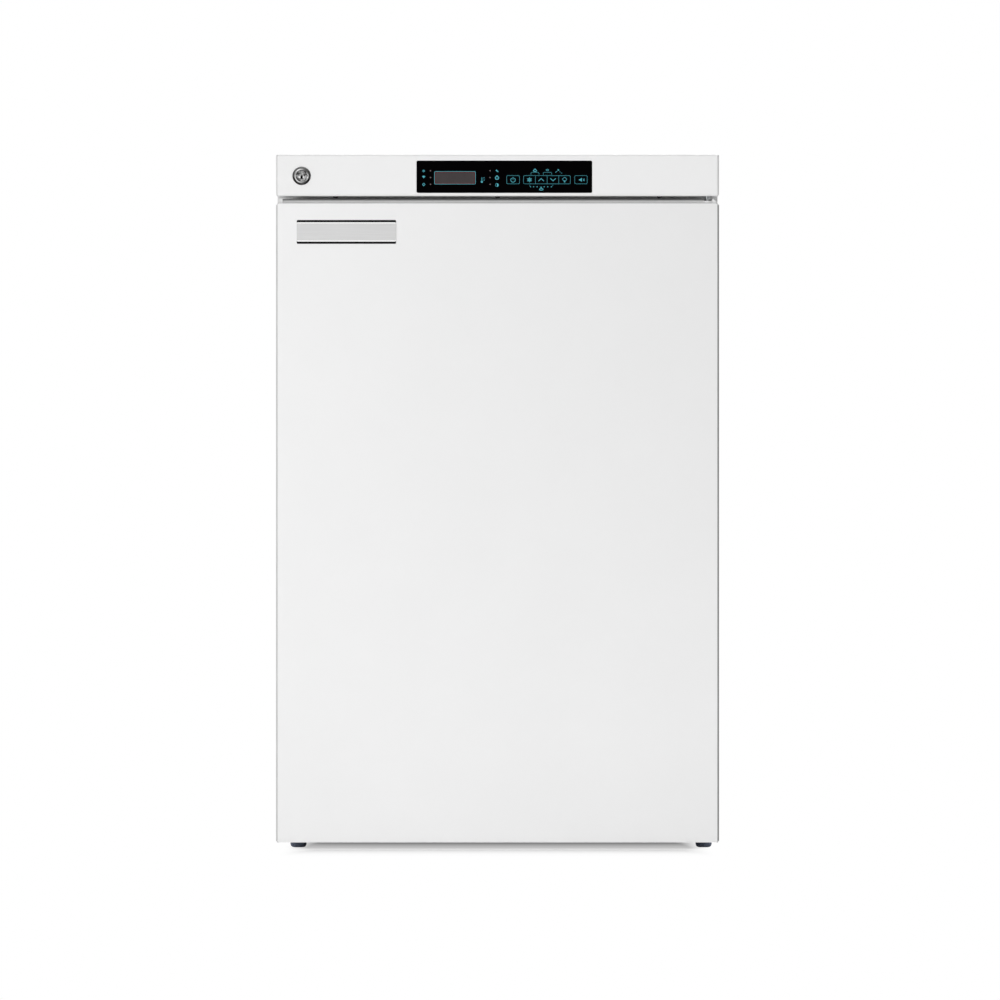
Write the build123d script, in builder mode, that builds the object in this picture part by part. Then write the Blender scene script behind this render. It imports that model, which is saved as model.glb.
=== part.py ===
from build123d import *
import os

os.makedirs("parts", exist_ok=True)

# Under-counter low temperature freezer, in millimetres.
# X runs across the front, the door faces -Y, Z is up from the floor, and the origin is
# the middle of the footprint. Every solid is a piece that comes apart on a bench.

# Heights, which add up to the overall height
door_floor_gap = 7.6
door_height = 779.0
cap_rise = 5.4
top_gap = 3.6
housing_height = 50.4

# Depths, which add up to the overall depth
badge_stand = 1.0
door_thickness = 56.0
gasket_gap = 12.0
cabinet_depth = 440.0
rear_stand_off = 51.0

# Widths
width = 540.0
cabinet_inset = 1.0

# Clearances
fit = 0.2
soft_gap = 0.3
running_fit = 0.05

# Sides of the small rounds that nothing turns in, drawn flat to stay light
round_sides = 24

# Sheets and walls
sheet = 1.0
pan_sheet = 1.2
liner_wall = 2.0
moulded_wall = 3.0
front_flange = 22.0
pan_flange = 25.0

# Cold space
side_insulation = 54.0
top_insulation = 50.0
floor_insulation = 56.0
back_insulation = 60.0
cold_radius = 12.0

# Compressor bay
base_height = 12.0
bay_height = 210.0
bay_depth = 190.0
step_insulation = 58.0

# Levels and planes that follow from the sizes above
depth = badge_stand + door_thickness + gasket_gap + cabinet_depth + rear_stand_off
door_half = width / 2
wrap_half = door_half - cabinet_inset
door_front = -depth / 2 + badge_stand
door_back = door_front + door_thickness
cabinet_front = door_back + gasket_gap
cabinet_back = cabinet_front + cabinet_depth
skin_top = door_floor_gap + door_height
cap_top = skin_top + cap_rise
cabinet_top = cap_top + top_gap
overall_height = cabinet_top + housing_height

pan_half = wrap_half - sheet - fit
pan_top = base_height + pan_sheet
inner_half = pan_half - pan_sheet - fit
bay_front = cabinet_back - bay_depth
bay_top = base_height + bay_height
cold_half = wrap_half - sheet - side_insulation - liner_wall
cold_floor = pan_top + floor_insulation + liner_wall
cold_top = cabinet_top - sheet - top_insulation - liner_wall
cold_back = cabinet_back - sheet - back_insulation - liner_wall
step_top = bay_top + pan_sheet + step_insulation
step_front = bay_front - step_insulation


def facing_front(y):
    """Plane across the cabinet at depth y, with sketch axes X and Z."""
    return Plane.XZ.offset(-y)


def facing_side(x):
    """Plane along the cabinet at x, with sketch axes Y and Z."""
    return Plane.YZ.offset(x)


def level(z):
    """Horizontal plane at height z, with sketch axes X and Y."""
    return Plane.XY.offset(z)


def span(a0, a1, b0, b1, mode=Mode.ADD):
    """Rectangle between two sketch coordinates each way."""
    with Locations(((a0 + a1) / 2, (b0 + b1) / 2)):
        Rectangle(a1 - a0, b1 - b0, mode=mode)


def cut_span(a0, a1, b0, b1, corner, mode=Mode.ADD):
    """Rectangle between two sketch coordinates each way, its corners cut off."""
    Polygon(
        (a0, b0 + corner),
        (a0 + corner, b0),
        (a1 - corner, b0),
        (a1, b0 + corner),
        (a1, b1 - corner),
        (a1 - corner, b1),
        (a0 + corner, b1),
        (a0, b1 - corner),
        align=None,
        mode=mode,
    )


def block(x0, x1, y0, y1, z0, z1, mode=Mode.ADD):
    """Box between two coordinates each way."""
    with Locations(((x0 + x1) / 2, (y0 + y1) / 2, (z0 + z1) / 2)):
        Box(x1 - x0, y1 - y0, z1 - z0, mode=mode)


# Cabinet wrap: one bent sheet over both sides and the top, with a flange for the gasket
with BuildPart() as cabinet_wrap:
    with BuildSketch(facing_front(cabinet_back)):
        span(-wrap_half, wrap_half, base_height, cabinet_top)
        span(-wrap_half + sheet, wrap_half - sheet, base_height, cabinet_top - sheet, Mode.SUBTRACT)
    extrude(amount=cabinet_depth)
    with BuildSketch(facing_front(cabinet_front)):
        span(-wrap_half, wrap_half, base_height, cabinet_top)
        span(
            -wrap_half + front_flange,
            wrap_half - front_flange,
            base_height + front_flange,
            cabinet_top - front_flange,
            Mode.SUBTRACT,
        )
    extrude(amount=-sheet)
cabinet_wrap.part.label = "cabinet_wrap"
export_step(cabinet_wrap.part, "parts/cabinet_wrap.step")

# Hinge axis, and the feet and rollers that the base pan is pierced for
pin_inset = 14.0
pin_set_back = 27.0
pin_x = door_half - pin_inset
pin_y = door_front + pin_set_back
foot_left_inset = 26.3
foot_right_inset = 17.7
foot_left_x = -door_half + foot_left_inset
foot_right_x = door_half - foot_right_inset
foot_set_back = 22.0
foot_y = cabinet_front + foot_set_back
stud_radius = 4.0
stud_hole_radius = 5.0
stud_room = 12.0
stud_top = 42.0
roller_radius = 18.0
roller_width = 16.0
roller_axle_radius = 2.5
roller_side = 44.0
roller_x = wrap_half - roller_side
roller_inset = 38.0
roller_y = cabinet_back - roller_inset
roller_room = 2.0

# Base pan: tray with upturned sides, drilled for the feet and cut out for the rollers
with BuildPart() as base_pan:
    with BuildSketch(facing_front(cabinet_back - sheet - fit)):
        span(-pan_half, pan_half, base_height, base_height + pan_flange)
        span(-pan_half + pan_sheet, pan_half - pan_sheet, pan_top, base_height + pan_flange, Mode.SUBTRACT)
    extrude(amount=cabinet_depth - 2 * (sheet + fit))
    with BuildSketch(level(base_height)):
        with Locations((foot_left_x, foot_y), (foot_right_x, foot_y)):
            RegularPolygon(stud_hole_radius, round_sides)
        with Locations((-roller_x, roller_y), (roller_x, roller_y)):
            Rectangle(roller_width + 2 * roller_room, 2 * (roller_radius + roller_room))
    extrude(amount=pan_sheet, mode=Mode.SUBTRACT)
base_pan.part.label = "base_pan"
export_step(base_pan.part, "parts/base_pan.step")

# Bay panel: bent sheet that parts the compressor bay from the foam
with BuildPart() as bay_panel:
    with BuildSketch(facing_side(-inner_half)):
        span(bay_front, cabinet_back - sheet - fit, pan_top + fit, bay_top + pan_sheet)
        span(bay_front + pan_sheet, cabinet_back, pan_top, bay_top, Mode.SUBTRACT)
    extrude(amount=2 * inner_half)
bay_panel.part.label = "bay_panel"
export_step(bay_panel.part, "parts/bay_panel.step")

# Access port through the back wall, shared by the panel, the foam and the liner
port_side_room = 42.0
port_x = -cold_half + port_side_room
port_drop = 27.0
port_z = cold_top - port_drop
port_bore_radius = 13.0
port_wall = 2.5
port_radius = port_bore_radius + port_wall

# Suction pipe's way through the back panel
suction_radius = 4.0
suction_x = 84.0
suction_rise = 22.0
suction_entry_z = bay_top + suction_rise

# Back panel: flat sheet above the bay, let in between the sides of the wrap
with BuildPart() as back_panel:
    with BuildSketch(facing_front(cabinet_back)):
        span(-pan_half, pan_half, bay_top + pan_sheet + fit, cabinet_top - sheet - fit)
        with Locations((port_x, port_z)):
            RegularPolygon(port_radius + fit, round_sides, mode=Mode.SUBTRACT)
        with Locations((suction_x, suction_entry_z)):
            RegularPolygon(suction_radius + fit, round_sides, mode=Mode.SUBTRACT)
    extrude(amount=sheet)
back_panel.part.label = "back_panel"
export_step(back_panel.part, "parts/back_panel.step")


def cold_outline(grow):
    """Side outline of the cold space with its step over the bay, grown by a wall."""
    Polygon(
        (cabinet_front, cold_floor - grow),
        (cabinet_front, cold_top + grow),
        (cold_back + grow, cold_top + grow),
        (cold_back + grow, step_top - grow),
        (step_front + grow, step_top - grow),
        (step_front + grow, cold_floor - grow),
        align=None,
    )


def cold_block(grow, radius):
    """The cold space as a solid, its long edges rounded."""
    with BuildPart() as cold:
        with BuildSketch(facing_side(-cold_half - grow)):
            cold_outline(grow)
        extrude(amount=2 * (cold_half + grow))
        if radius > 0:
            fillet(cold.edges().filter_by(Axis.Y).group_by(Axis.Z)[-1], radius)
            fillet(cold.edges().filter_by(Axis.Y).group_by(Axis.Z)[0], radius)
    return cold.part


# Shelf evaporators rest on ledges of the liner
shelf_sheet = 2.0
coil_width = 9.0
coil_rise = 2.8
ledge_width = 16.0
ledge_height = 8.0
ledge_front_room = 22.0
lower_shelf_rise = 4.0
top_air_room = 9.4
lower_shelf_z = step_top + lower_shelf_rise
shelf_pitch_up = (cold_top - top_air_room - lower_shelf_z) / 2
middle_shelf_z = lower_shelf_z + shelf_pitch_up
ledge_front = cabinet_front + ledge_front_room
shelf_levels = {"lower": lower_shelf_z, "middle": middle_shelf_z}
ledge_backs = {"lower": step_front, "middle": cold_back}

# Inner liner: vacuum-formed tub with a step over the bay, ledges and a rim at the front
with BuildPart() as inner_liner:
    add(cold_block(liner_wall, cold_radius + liner_wall))
    add(cold_block(0, cold_radius), mode=Mode.SUBTRACT)
    with BuildSketch(facing_front(cabinet_front)):
        span(
            -wrap_half + front_flange + fit,
            wrap_half - front_flange - fit,
            base_height + front_flange + fit,
            cabinet_top - front_flange - fit,
        )
        span(-cold_half, cold_half, cold_floor, cold_top, Mode.SUBTRACT)
    extrude(amount=-liner_wall)
    for name, z in shelf_levels.items():
        ledge_top = z - fit
        for side in (-1, 1):
            inner = side * (cold_half - ledge_width)
            outer = side * (cold_half + liner_wall / 2)
            block(
                min(inner, outer),
                max(inner, outer),
                ledge_front,
                ledge_backs[name],
                ledge_top - ledge_height,
                ledge_top,
            )
    with BuildSketch(facing_front(cold_back + liner_wall)):
        with Locations((port_x, port_z)):
            RegularPolygon(port_radius + fit, round_sides)
    extrude(amount=liner_wall, mode=Mode.SUBTRACT)
inner_liner.part.label = "inner_liner"
export_step(inner_liner.part, "parts/inner_liner.step")

# Insulation: foamed in place between the wrap, the pan, the bay panel and the liner
foam_front = cabinet_front + liner_wall + fit
foam_back = cabinet_back - sheet - fit
with BuildPart() as insulation_foam:
    with BuildSketch(facing_side(-inner_half)):
        span(foam_front, foam_back, pan_top + fit, cabinet_top - sheet - fit)
        span(bay_front - fit, foam_back, pan_top + fit, bay_top + pan_sheet + fit, Mode.SUBTRACT)
    extrude(amount=2 * inner_half)
    add(cold_block(liner_wall + fit, 0), mode=Mode.SUBTRACT)
    with BuildSketch(facing_front(foam_back)):
        with Locations((port_x, port_z)):
            RegularPolygon(port_radius + fit, round_sides)
    extrude(amount=foam_back - cold_back, mode=Mode.SUBTRACT)
    for x in (foot_left_x, foot_right_x):
        block(
            x - stud_room,
            x + stud_room,
            foot_y - stud_room,
            foot_y + stud_room,
            pan_top + fit,
            stud_top + sheet,
            Mode.SUBTRACT,
        )
insulation_foam.part.label = "insulation_foam"
export_step(insulation_foam.part, "parts/insulation_foam.step")


# Evaporator shelves: plates with a squared coil channel below and a lip turned down in front
shelf_side_room = 3.0
shelf_back_room = 12.0
shelf_lip = 12.0
coil_runs = 5
coil_first_room = 30.0
coil_last_room = 32.0
coil_side_room = 29.0
shelf_half = cold_half - shelf_side_room
lip_half = cold_half - ledge_width - shelf_side_room
shelf_back = cold_back - shelf_back_room
coil_half = shelf_half - coil_side_room
coil_first = ledge_front + coil_first_room
coil_pitch = (shelf_back - coil_last_room - coil_width - coil_first) / (coil_runs - 1)
for name, z in shelf_levels.items():
    with BuildPart() as shelf:
        block(-shelf_half, shelf_half, ledge_front, shelf_back, z, z + shelf_sheet)
        block(-lip_half, lip_half, ledge_front, ledge_front + shelf_sheet, z - shelf_lip, z)
        with BuildSketch(level(z)):
            for run in range(coil_runs):
                y = coil_first + run * coil_pitch
                outer = coil_half if run % 2 == 0 else -coil_half
                inner = outer - coil_width if run % 2 == 0 else outer + coil_width
                span(-coil_half, coil_half, y, y + coil_width)
                if run < coil_runs - 1:
                    span(min(inner, outer), max(inner, outer), y, y + coil_pitch)
        extrude(amount=-coil_rise)
    shelf.part.label = f"evaporator_shelf_{name}"
    export_step(shelf.part, f"parts/evaporator_shelf_{name}.step")

# Door skin: front sheet with its sides folded back, notched low down for the hinge arm
arm_half = 7.0
arm_room = 1.0
pocket_rise = 5.9
pocket_front_wall = 2.5
pocket_top = door_floor_gap + pocket_rise


def hinge_pocket():
    """Room in the door's low corner that the bottom hinge arm sweeps through."""
    block(
        pin_x - arm_half - arm_room,
        door_half + fit,
        door_front + pocket_front_wall,
        door_back + fit,
        door_floor_gap - fit,
        pocket_top,
        Mode.SUBTRACT,
    )


def corner_cuts():
    """Sketch of the slanting cuts across the door's two top corners."""
    for side in (-1, 1):
        Polygon(
            (side * (door_half - corner_cut - fit), skin_top + fit),
            (side * (door_half + fit), skin_top + fit),
            (side * (door_half + fit), skin_top - corner_cut - fit),
            align=None,
        )


skin_bend = 0.9
corner_cut = 2.1
with BuildPart() as door_skin:
    with BuildSketch(level(door_floor_gap)):
        span(-door_half, door_half, door_front, door_back - liner_wall - fit)
        span(
            -door_half + sheet,
            door_half - sheet,
            door_front + sheet,
            door_back,
            Mode.SUBTRACT,
        )
    extrude(amount=door_height)
    fillet(door_skin.edges().filter_by(Axis.Z).group_by(Axis.Y)[0], skin_bend)
    hinge_pocket()
    with BuildSketch(facing_front(door_back)):
        corner_cuts()
    extrude(amount=door_thickness, mode=Mode.SUBTRACT)
door_skin.part.label = "door_skin"
export_step(door_skin.part, "parts/door_skin.step")

# Grip, lock slot and hinge collar of the top cap
cap_plug = 16.0
cap_wall_half = door_half - sheet - fit
cap_end_cut = 4.6
grip_inset = 8.0
grip_left = -door_half + grip_inset
grip_right = door_half - grip_inset
grip_slope = 9.0
channel_lock_room = 15.9
channel_hinge_room = 27.8
channel_near = 11.0
channel_width = 16.0
channel_depth = 11.0
collar_half = 6.5
collar_set_back = 1.0
collar_y = door_front + collar_set_back + collar_half
boss_drop = 2.2
boss_floor = cap_top - boss_drop
pin_side_room = 1.5
top_pin_radius = 3.0
bottom_pin_radius = 4.0
pin_end_room = 1.0
bush_wall = 3.4
top_bush_length = 13.0

# Lock, which hangs its cam into the cap
lock_inset = 31.1
lock_x = -door_half + lock_inset
lock_rise = 24.7
lock_z = cabinet_top + lock_rise
cam_length = 40.0
cam_half = 7.0
cam_thickness = 3.0
cam_set_back = 26.0
cam_y = door_front + cam_set_back
cam_room = 2.5
slot_left = lock_x - cam_half - cam_room
slot_reach = 33.0
slot_right = lock_x + slot_reach
channel_left = slot_right + channel_lock_room
channel_right = pin_x - channel_hinge_room
slot_depth = 15.0
keeper_sheet = 1.5

bush_turn = 30.0
with BuildPart() as door_cap_top:
    cap_half = door_half - corner_cut
    block(-cap_half, cap_half, door_front, door_back, skin_top + fit, cap_top)
    chamfer(door_cap_top.edges().filter_by(Axis.Y).group_by(Axis.Z)[-1], cap_end_cut)
    block(
        -cap_wall_half,
        cap_wall_half,
        door_front + sheet + fit,
        door_back - liner_wall - fit,
        skin_top - cap_plug,
        skin_top + fit,
    )
    with BuildSketch(facing_side(grip_left)):
        Polygon(
            (door_front - fit, skin_top + 2 * fit),
            (door_front - fit, cap_top + fit),
            (door_front + grip_slope, cap_top + fit),
            align=None,
        )
    extrude(amount=grip_right - grip_left, mode=Mode.SUBTRACT)
    channel_y = door_front + channel_near
    block(
        channel_left,
        channel_right,
        channel_y,
        channel_y + channel_width,
        cap_top - channel_depth,
        cap_top,
        Mode.SUBTRACT,
    )
    block(
        slot_left,
        slot_right,
        cam_y - cam_room - keeper_sheet,
        cam_y + cam_thickness + cam_room,
        cap_top - slot_depth,
        cap_top,
        Mode.SUBTRACT,
    )
    with BuildSketch(level(skin_top + fit)):
        with Locations((pin_x, collar_y)):
            RegularPolygon(collar_half, round_sides)
        span(pin_x - collar_half, pin_x + collar_half, collar_y, pin_y)
    extrude(amount=boss_floor - skin_top - fit)
    with BuildSketch(level(boss_floor)):
        pin_room = top_pin_radius + pin_side_room
        span(pin_x - pin_room, pin_x + pin_room, door_front - fit, pin_y)
    extrude(amount=boss_drop, mode=Mode.SUBTRACT)
    with BuildSketch(level(cap_top)):
        with Locations((pin_x, pin_y)):
            RegularPolygon(top_pin_radius + bush_wall + running_fit, 6, rotation=bush_turn)
    extrude(amount=-boss_drop - top_bush_length, mode=Mode.SUBTRACT)
    with BuildSketch(facing_front(door_back)):
        corner_cuts()
    extrude(amount=door_thickness, mode=Mode.SUBTRACT)
door_cap_top.part.label = "door_cap_top"
export_step(door_cap_top.part, "parts/door_cap_top.step")

# Bottom cap: closes the skin below and holds the lower bush
bottom_cap_height = 20.0
bottom_bush_length = 13.0
with BuildPart() as door_cap_bottom:
    block(
        -cap_wall_half,
        cap_wall_half,
        door_front + sheet + fit,
        door_back - liner_wall - fit,
        door_floor_gap,
        door_floor_gap + bottom_cap_height,
    )
    hinge_pocket()
    with BuildSketch(level(pocket_top)):
        with Locations((pin_x, pin_y)):
            RegularPolygon(bottom_pin_radius + bush_wall + running_fit, 6, rotation=bush_turn)
    extrude(amount=bottom_bush_length, mode=Mode.SUBTRACT)
door_cap_bottom.part.label = "door_cap_bottom"
export_step(door_cap_bottom.part, "parts/door_cap_bottom.step")

# Bushes: sleeves that the two hinge pins turn in, six-sided outside so that they can't turn
with BuildPart() as door_bushes:
    with BuildSketch(level(boss_floor)):
        with Locations((pin_x, pin_y)):
            RegularPolygon(top_pin_radius + bush_wall, 6, rotation=bush_turn)
            Circle(top_pin_radius + running_fit, mode=Mode.SUBTRACT)
    extrude(amount=-top_bush_length + fit)
    with BuildSketch(level(base_height + soft_gap)):
        with Locations((pin_x, pin_y)):
            RegularPolygon(bottom_pin_radius + bush_wall, 6, rotation=bush_turn)
            Circle(bottom_pin_radius + running_fit, mode=Mode.SUBTRACT)
    extrude(amount=pocket_top + bottom_bush_length - fit - base_height - soft_gap)
door_bushes.part.label = "door_bushes"
export_step(door_bushes.part, "parts/door_bushes.step")

# Door foam and the door's inner liner with its raised pan
pad_rise = 14.0
pad_left_room = 7.0
pad_right_room = 12.0
pad_left = -cold_half + pad_left_room
pad_right = cold_half - pad_right_room
pad_margin = 12.0
pad_low = cold_floor + pad_margin
pad_high = cold_top - pad_margin
pad_corner = 14.0
pad_taper = 12.0


def raised_pad(inset, mode=Mode.ADD):
    """Sketch of the raised pan's foot, drawn in by an inset."""
    cut_span(pad_left + inset, pad_right - inset, pad_low + inset, pad_high - inset, pad_corner, mode)


with BuildPart() as door_liner:
    with BuildSketch(facing_front(door_back)):
        span(-cap_wall_half, cap_wall_half, door_floor_gap + bottom_cap_height, skin_top)
    extrude(amount=liner_wall)
    with BuildSketch(facing_front(door_back)):
        corner_cuts()
    extrude(amount=liner_wall, mode=Mode.SUBTRACT)
    with BuildSketch(facing_front(door_back)):
        raised_pad(0)
    extrude(amount=-pad_rise, taper=pad_taper)
    with BuildSketch(facing_front(door_back - liner_wall)):
        raised_pad(liner_wall)
    extrude(amount=-pad_rise, taper=pad_taper, mode=Mode.SUBTRACT)
door_liner.part.label = "door_liner"
export_step(door_liner.part, "parts/door_liner.step")

with BuildPart() as door_foam:
    block(
        -cap_wall_half,
        cap_wall_half,
        door_front + sheet + fit,
        door_back - liner_wall - fit,
        door_floor_gap + bottom_cap_height + fit,
        skin_top - cap_plug - fit,
    )
    with BuildSketch(facing_front(door_back - liner_wall - fit)):
        raised_pad(liner_wall + fit)
    extrude(amount=-pad_rise + fit, taper=pad_taper)
door_foam.part.label = "door_foam"
export_step(door_foam.part, "parts/door_foam.step")

# Gasket: one mitred frame of extruded profile with a magnet pocket and a bellows
gasket_inset = 12.8
gasket_rise = 7.0
gasket_drop = 7.6
gasket_outer_half = wrap_half - gasket_inset
gasket_low = base_height + gasket_rise
gasket_high = cabinet_top - gasket_drop
gasket_width = 17.0
gasket_base = 2.6
magnet_height = 5.0
bellows_share = 0.55
magnet_share = 0.85
gasket_back = cabinet_front - soft_gap
with BuildPart() as door_gasket:
    with BuildLine(facing_front(door_back + fit)) as gasket_path:
        middle = gasket_outer_half - gasket_width / 2
        low = gasket_low + gasket_width / 2
        high = gasket_high - gasket_width / 2
        Polyline((-middle, low), (middle, low), (middle, high), (-middle, high), close=True)
    gasket_height = gasket_back - door_back - fit
    half = gasket_width / 2
    with BuildSketch(Plane(origin=(0, door_back + fit, low), x_dir=(0, 0, 1), z_dir=(1, 0, 0))):
        Polygon(
            (-half, 0),
            (half, 0),
            (half, -gasket_base),
            (half * bellows_share, -gasket_base),
            (half * bellows_share, -gasket_height + magnet_height),
            (half * magnet_share, -gasket_height + magnet_height),
            (half * magnet_share, -gasket_height),
            (-half * magnet_share, -gasket_height),
            (-half * magnet_share, -gasket_height + magnet_height),
            (-half * bellows_share, -gasket_height + magnet_height),
            (-half * bellows_share, -gasket_base),
            (-half, -gasket_base),
            align=None,
        )
    sweep(path=gasket_path.line, transition=Transition.RIGHT)
door_gasket.part.label = "door_gasket"
export_step(door_gasket.part, "parts/door_gasket.step")

# Nameplate: bare metal plate stuck to the skin, with a raised rail above and below
badge_width = 121.0
badge_height = 29.0
badge_inset = 25.2
badge_drop = 34.7
badge_x = -door_half + badge_inset + badge_width / 2
badge_z = skin_top - badge_drop
badge_base = 0.6
badge_rail = 2.6
badge_edge = 0.3
with BuildPart() as badge_plate:
    with BuildSketch(facing_front(door_front)):
        with Locations((badge_x, badge_z)):
            Rectangle(badge_width, badge_height)
    extrude(amount=badge_base)
    with BuildSketch(facing_front(door_front)):
        with Locations((badge_x, badge_z)):
            with GridLocations(0, badge_height - badge_rail, 1, 2):
                Rectangle(badge_width, badge_rail)
    extrude(amount=badge_stand)
    chamfer(badge_plate.faces().group_by(Axis.Y)[0].edges(), badge_edge)
badge_plate.part.label = "badge_plate"
export_step(badge_plate.part, "parts/badge_plate.step")

# Lock keeper: steel strip on the slot's front wall, which the cam bears against
keeper_front = cam_y - cam_room - keeper_sheet
with BuildPart() as lock_keeper:
    block(
        slot_left + fit,
        slot_right - fit,
        keeper_front,
        keeper_front + keeper_sheet,
        cap_top - slot_depth,
        cap_top - sheet,
    )
lock_keeper.part.label = "lock_keeper"
export_step(lock_keeper.part, "parts/lock_keeper.step")

# Control fascia: moulded shell over the door's top edge, open behind
fascia_set_back = 3.0
fascia_front = door_front + fascia_set_back
fascia_round = 2.5
fascia_bevel = 1.8
panel_x = 8.3
panel_rise = 23.6
panel_z = cabinet_top + panel_rise
panel_width = 214.0
panel_height = 39.2
panel_radius = 2.0
panel_thickness = 1.8
panel_lip = 4.0
panel_side_lip = 12.0
lock_body_radius = 9.5
hinge_plate = 3.0
hinge_nose = 6.0
top_plate_inboard = 21.8
top_plate_left = pin_x - top_plate_inboard
top_plate_reach = 60.0
hinge_notch_room = 0.8
board_boss_radius = 3.0
board_boss_length = 5.0
board_boss_inset = 11.0
board_boss_x = panel_width / 2 - board_boss_inset

with BuildPart() as control_fascia:
    block(-door_half, door_half, fascia_front, cabinet_front, cabinet_top, overall_height)
    uprights = control_fascia.edges().filter_by(Axis.Z).group_by(Axis.Y)[0]
    brow = control_fascia.edges().filter_by(Axis.X).group_by(Axis.Y)[0].sort_by(Axis.Z)[-1:]
    fillet(uprights + brow, fascia_round)
    chamfer(control_fascia.faces().sort_by(Axis.Z)[0].edges().sort_by(Axis.Y)[:3], fascia_bevel)
    block(
        -door_half + moulded_wall,
        door_half - moulded_wall,
        fascia_front + moulded_wall,
        cabinet_front,
        cabinet_top + moulded_wall,
        overall_height - moulded_wall,
        Mode.SUBTRACT,
    )
    with BuildSketch(facing_front(fascia_front + moulded_wall)):
        with Locations((panel_x, panel_z)):
            with GridLocations(2 * board_boss_x, 0, 2, 1):
                RegularPolygon(board_boss_radius, 6)
    extrude(amount=-board_boss_length)
    with BuildSketch(facing_front(fascia_front)):
        with Locations((panel_x, panel_z)):
            RectangleRounded(panel_width + 2 * fit, panel_height + 2 * fit, panel_radius)
    extrude(amount=-panel_thickness - fit, mode=Mode.SUBTRACT)
    with BuildSketch(facing_front(fascia_front)):
        with Locations((panel_x, panel_z)):
            Rectangle(panel_width - 2 * panel_side_lip, panel_height - 2 * panel_lip)
        with Locations((lock_x, lock_z)):
            RegularPolygon(lock_body_radius + fit, round_sides)
    extrude(amount=-moulded_wall - fit, mode=Mode.SUBTRACT)
    block(
        slot_left - cam_room,
        slot_right + cam_room,
        cam_y - cam_room,
        cam_y + cam_thickness + cam_room,
        cabinet_top - fit,
        cabinet_top + moulded_wall,
        Mode.SUBTRACT,
    )
    block(
        top_plate_left - hinge_notch_room,
        pin_x + hinge_nose + fit,
        pin_y - hinge_nose - hinge_notch_room,
        cabinet_front,
        cabinet_top,
        cabinet_top + moulded_wall,
        Mode.SUBTRACT,
    )
control_fascia.part.label = "control_fascia"
export_step(control_fascia.part, "parts/control_fascia.step")

# Control glass: black printed panel let into the fascia
with BuildPart() as control_glass:
    with BuildSketch(facing_front(fascia_front + panel_thickness)):
        with Locations((panel_x, panel_z)):
            RectangleRounded(panel_width, panel_height, panel_radius)
    extrude(amount=panel_thickness)
control_glass.part.label = "control_glass"
export_step(control_glass.part, "parts/control_glass.step")

# Control board behind the glass, with its display block
board_thickness = 1.6
board_edge = 5.0
board_height = 30.0
display_dx = 50.8
display_x = panel_x - display_dx
display_width = 52.0
display_height = 19.0
board_front = fascia_front + moulded_wall + board_boss_length
with BuildPart() as control_board:
    block(
        panel_x - board_boss_x - board_edge,
        panel_x + board_boss_x + board_edge,
        board_front,
        board_front + board_thickness,
        panel_z - board_height / 2,
        panel_z + board_height / 2,
    )
    block(
        display_x - display_width / 2,
        display_x + display_width / 2,
        fascia_front + panel_thickness + soft_gap,
        board_front,
        panel_z - display_height / 2,
        panel_z + display_height / 2,
    )
control_board.part.label = "control_board"
export_step(control_board.part, "parts/control_board.step")

# Top cover: folded sheet lid over the housing, turned in below to sit on the cabinet
cover_sheet = 1.2
cover_rim = 8.0
cover_front = cabinet_front + fit
with BuildPart() as top_cover:
    block(-door_half, door_half, cover_front, cabinet_back, cabinet_top, overall_height)
    rear_uprights = top_cover.edges().filter_by(Axis.Z).group_by(Axis.Y)[-1]
    rear_brow = top_cover.edges().filter_by(Axis.X).group_by(Axis.Y)[-1].sort_by(Axis.Z)[-1:]
    fillet(rear_uprights + rear_brow, fascia_round)
    chamfer(top_cover.edges().filter_by(Axis.Y).group_by(Axis.Z)[0], fascia_bevel)
    block(
        -door_half + cover_sheet,
        door_half - cover_sheet,
        cover_front,
        cabinet_back - cover_sheet,
        cabinet_top + cover_sheet,
        overall_height - cover_sheet,
        Mode.SUBTRACT,
    )
    block(
        -door_half + cover_rim,
        door_half - cover_rim,
        cover_front,
        cabinet_back - cover_rim,
        cabinet_top,
        cabinet_top + cover_sheet,
        Mode.SUBTRACT,
    )
top_cover.part.label = "top_cover"
export_step(top_cover.part, "parts/top_cover.step")

# Power board on pillars inside the housing
power_x = -110.0
power_y = 60.0
power_width = 140.0
power_depth = 90.0
pillar_radius = 3.5
pillar_height = 6.0
pillar_inset = 7.0
transformer_dx = 42.0
transformer_width = 38.0
transformer_depth = 44.0
transformer_height = 28.0
relay_dx = 24.0
relay_pitch = 24.0
relay_count = 3
relay_x_size = 15.0
relay_y_size = 19.0
with BuildPart() as power_board:
    with BuildSketch(level(cabinet_top)):
        with Locations((power_x, power_y)):
            with GridLocations(power_width - 2 * pillar_inset, power_depth - 2 * pillar_inset, 2, 2):
                RegularPolygon(pillar_radius, 6)
    extrude(amount=pillar_height)
    board_top = cabinet_top + pillar_height + board_thickness
    with BuildSketch(level(cabinet_top + pillar_height)):
        with Locations((power_x, power_y)):
            Rectangle(power_width, power_depth)
    extrude(amount=board_thickness)
    with BuildSketch(level(board_top)):
        with Locations((power_x - transformer_dx, power_y)):
            Rectangle(transformer_width, transformer_depth)
    extrude(amount=transformer_height)
    with BuildSketch(level(board_top)):
        with Locations((power_x + relay_dx, power_y)):
            with GridLocations(relay_pitch, 0, relay_count, 1):
                Rectangle(relay_x_size, relay_y_size)
    extrude(amount=relay_y_size)
power_board.part.label = "power_board"
export_step(power_board.part, "parts/power_board.step")

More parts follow.
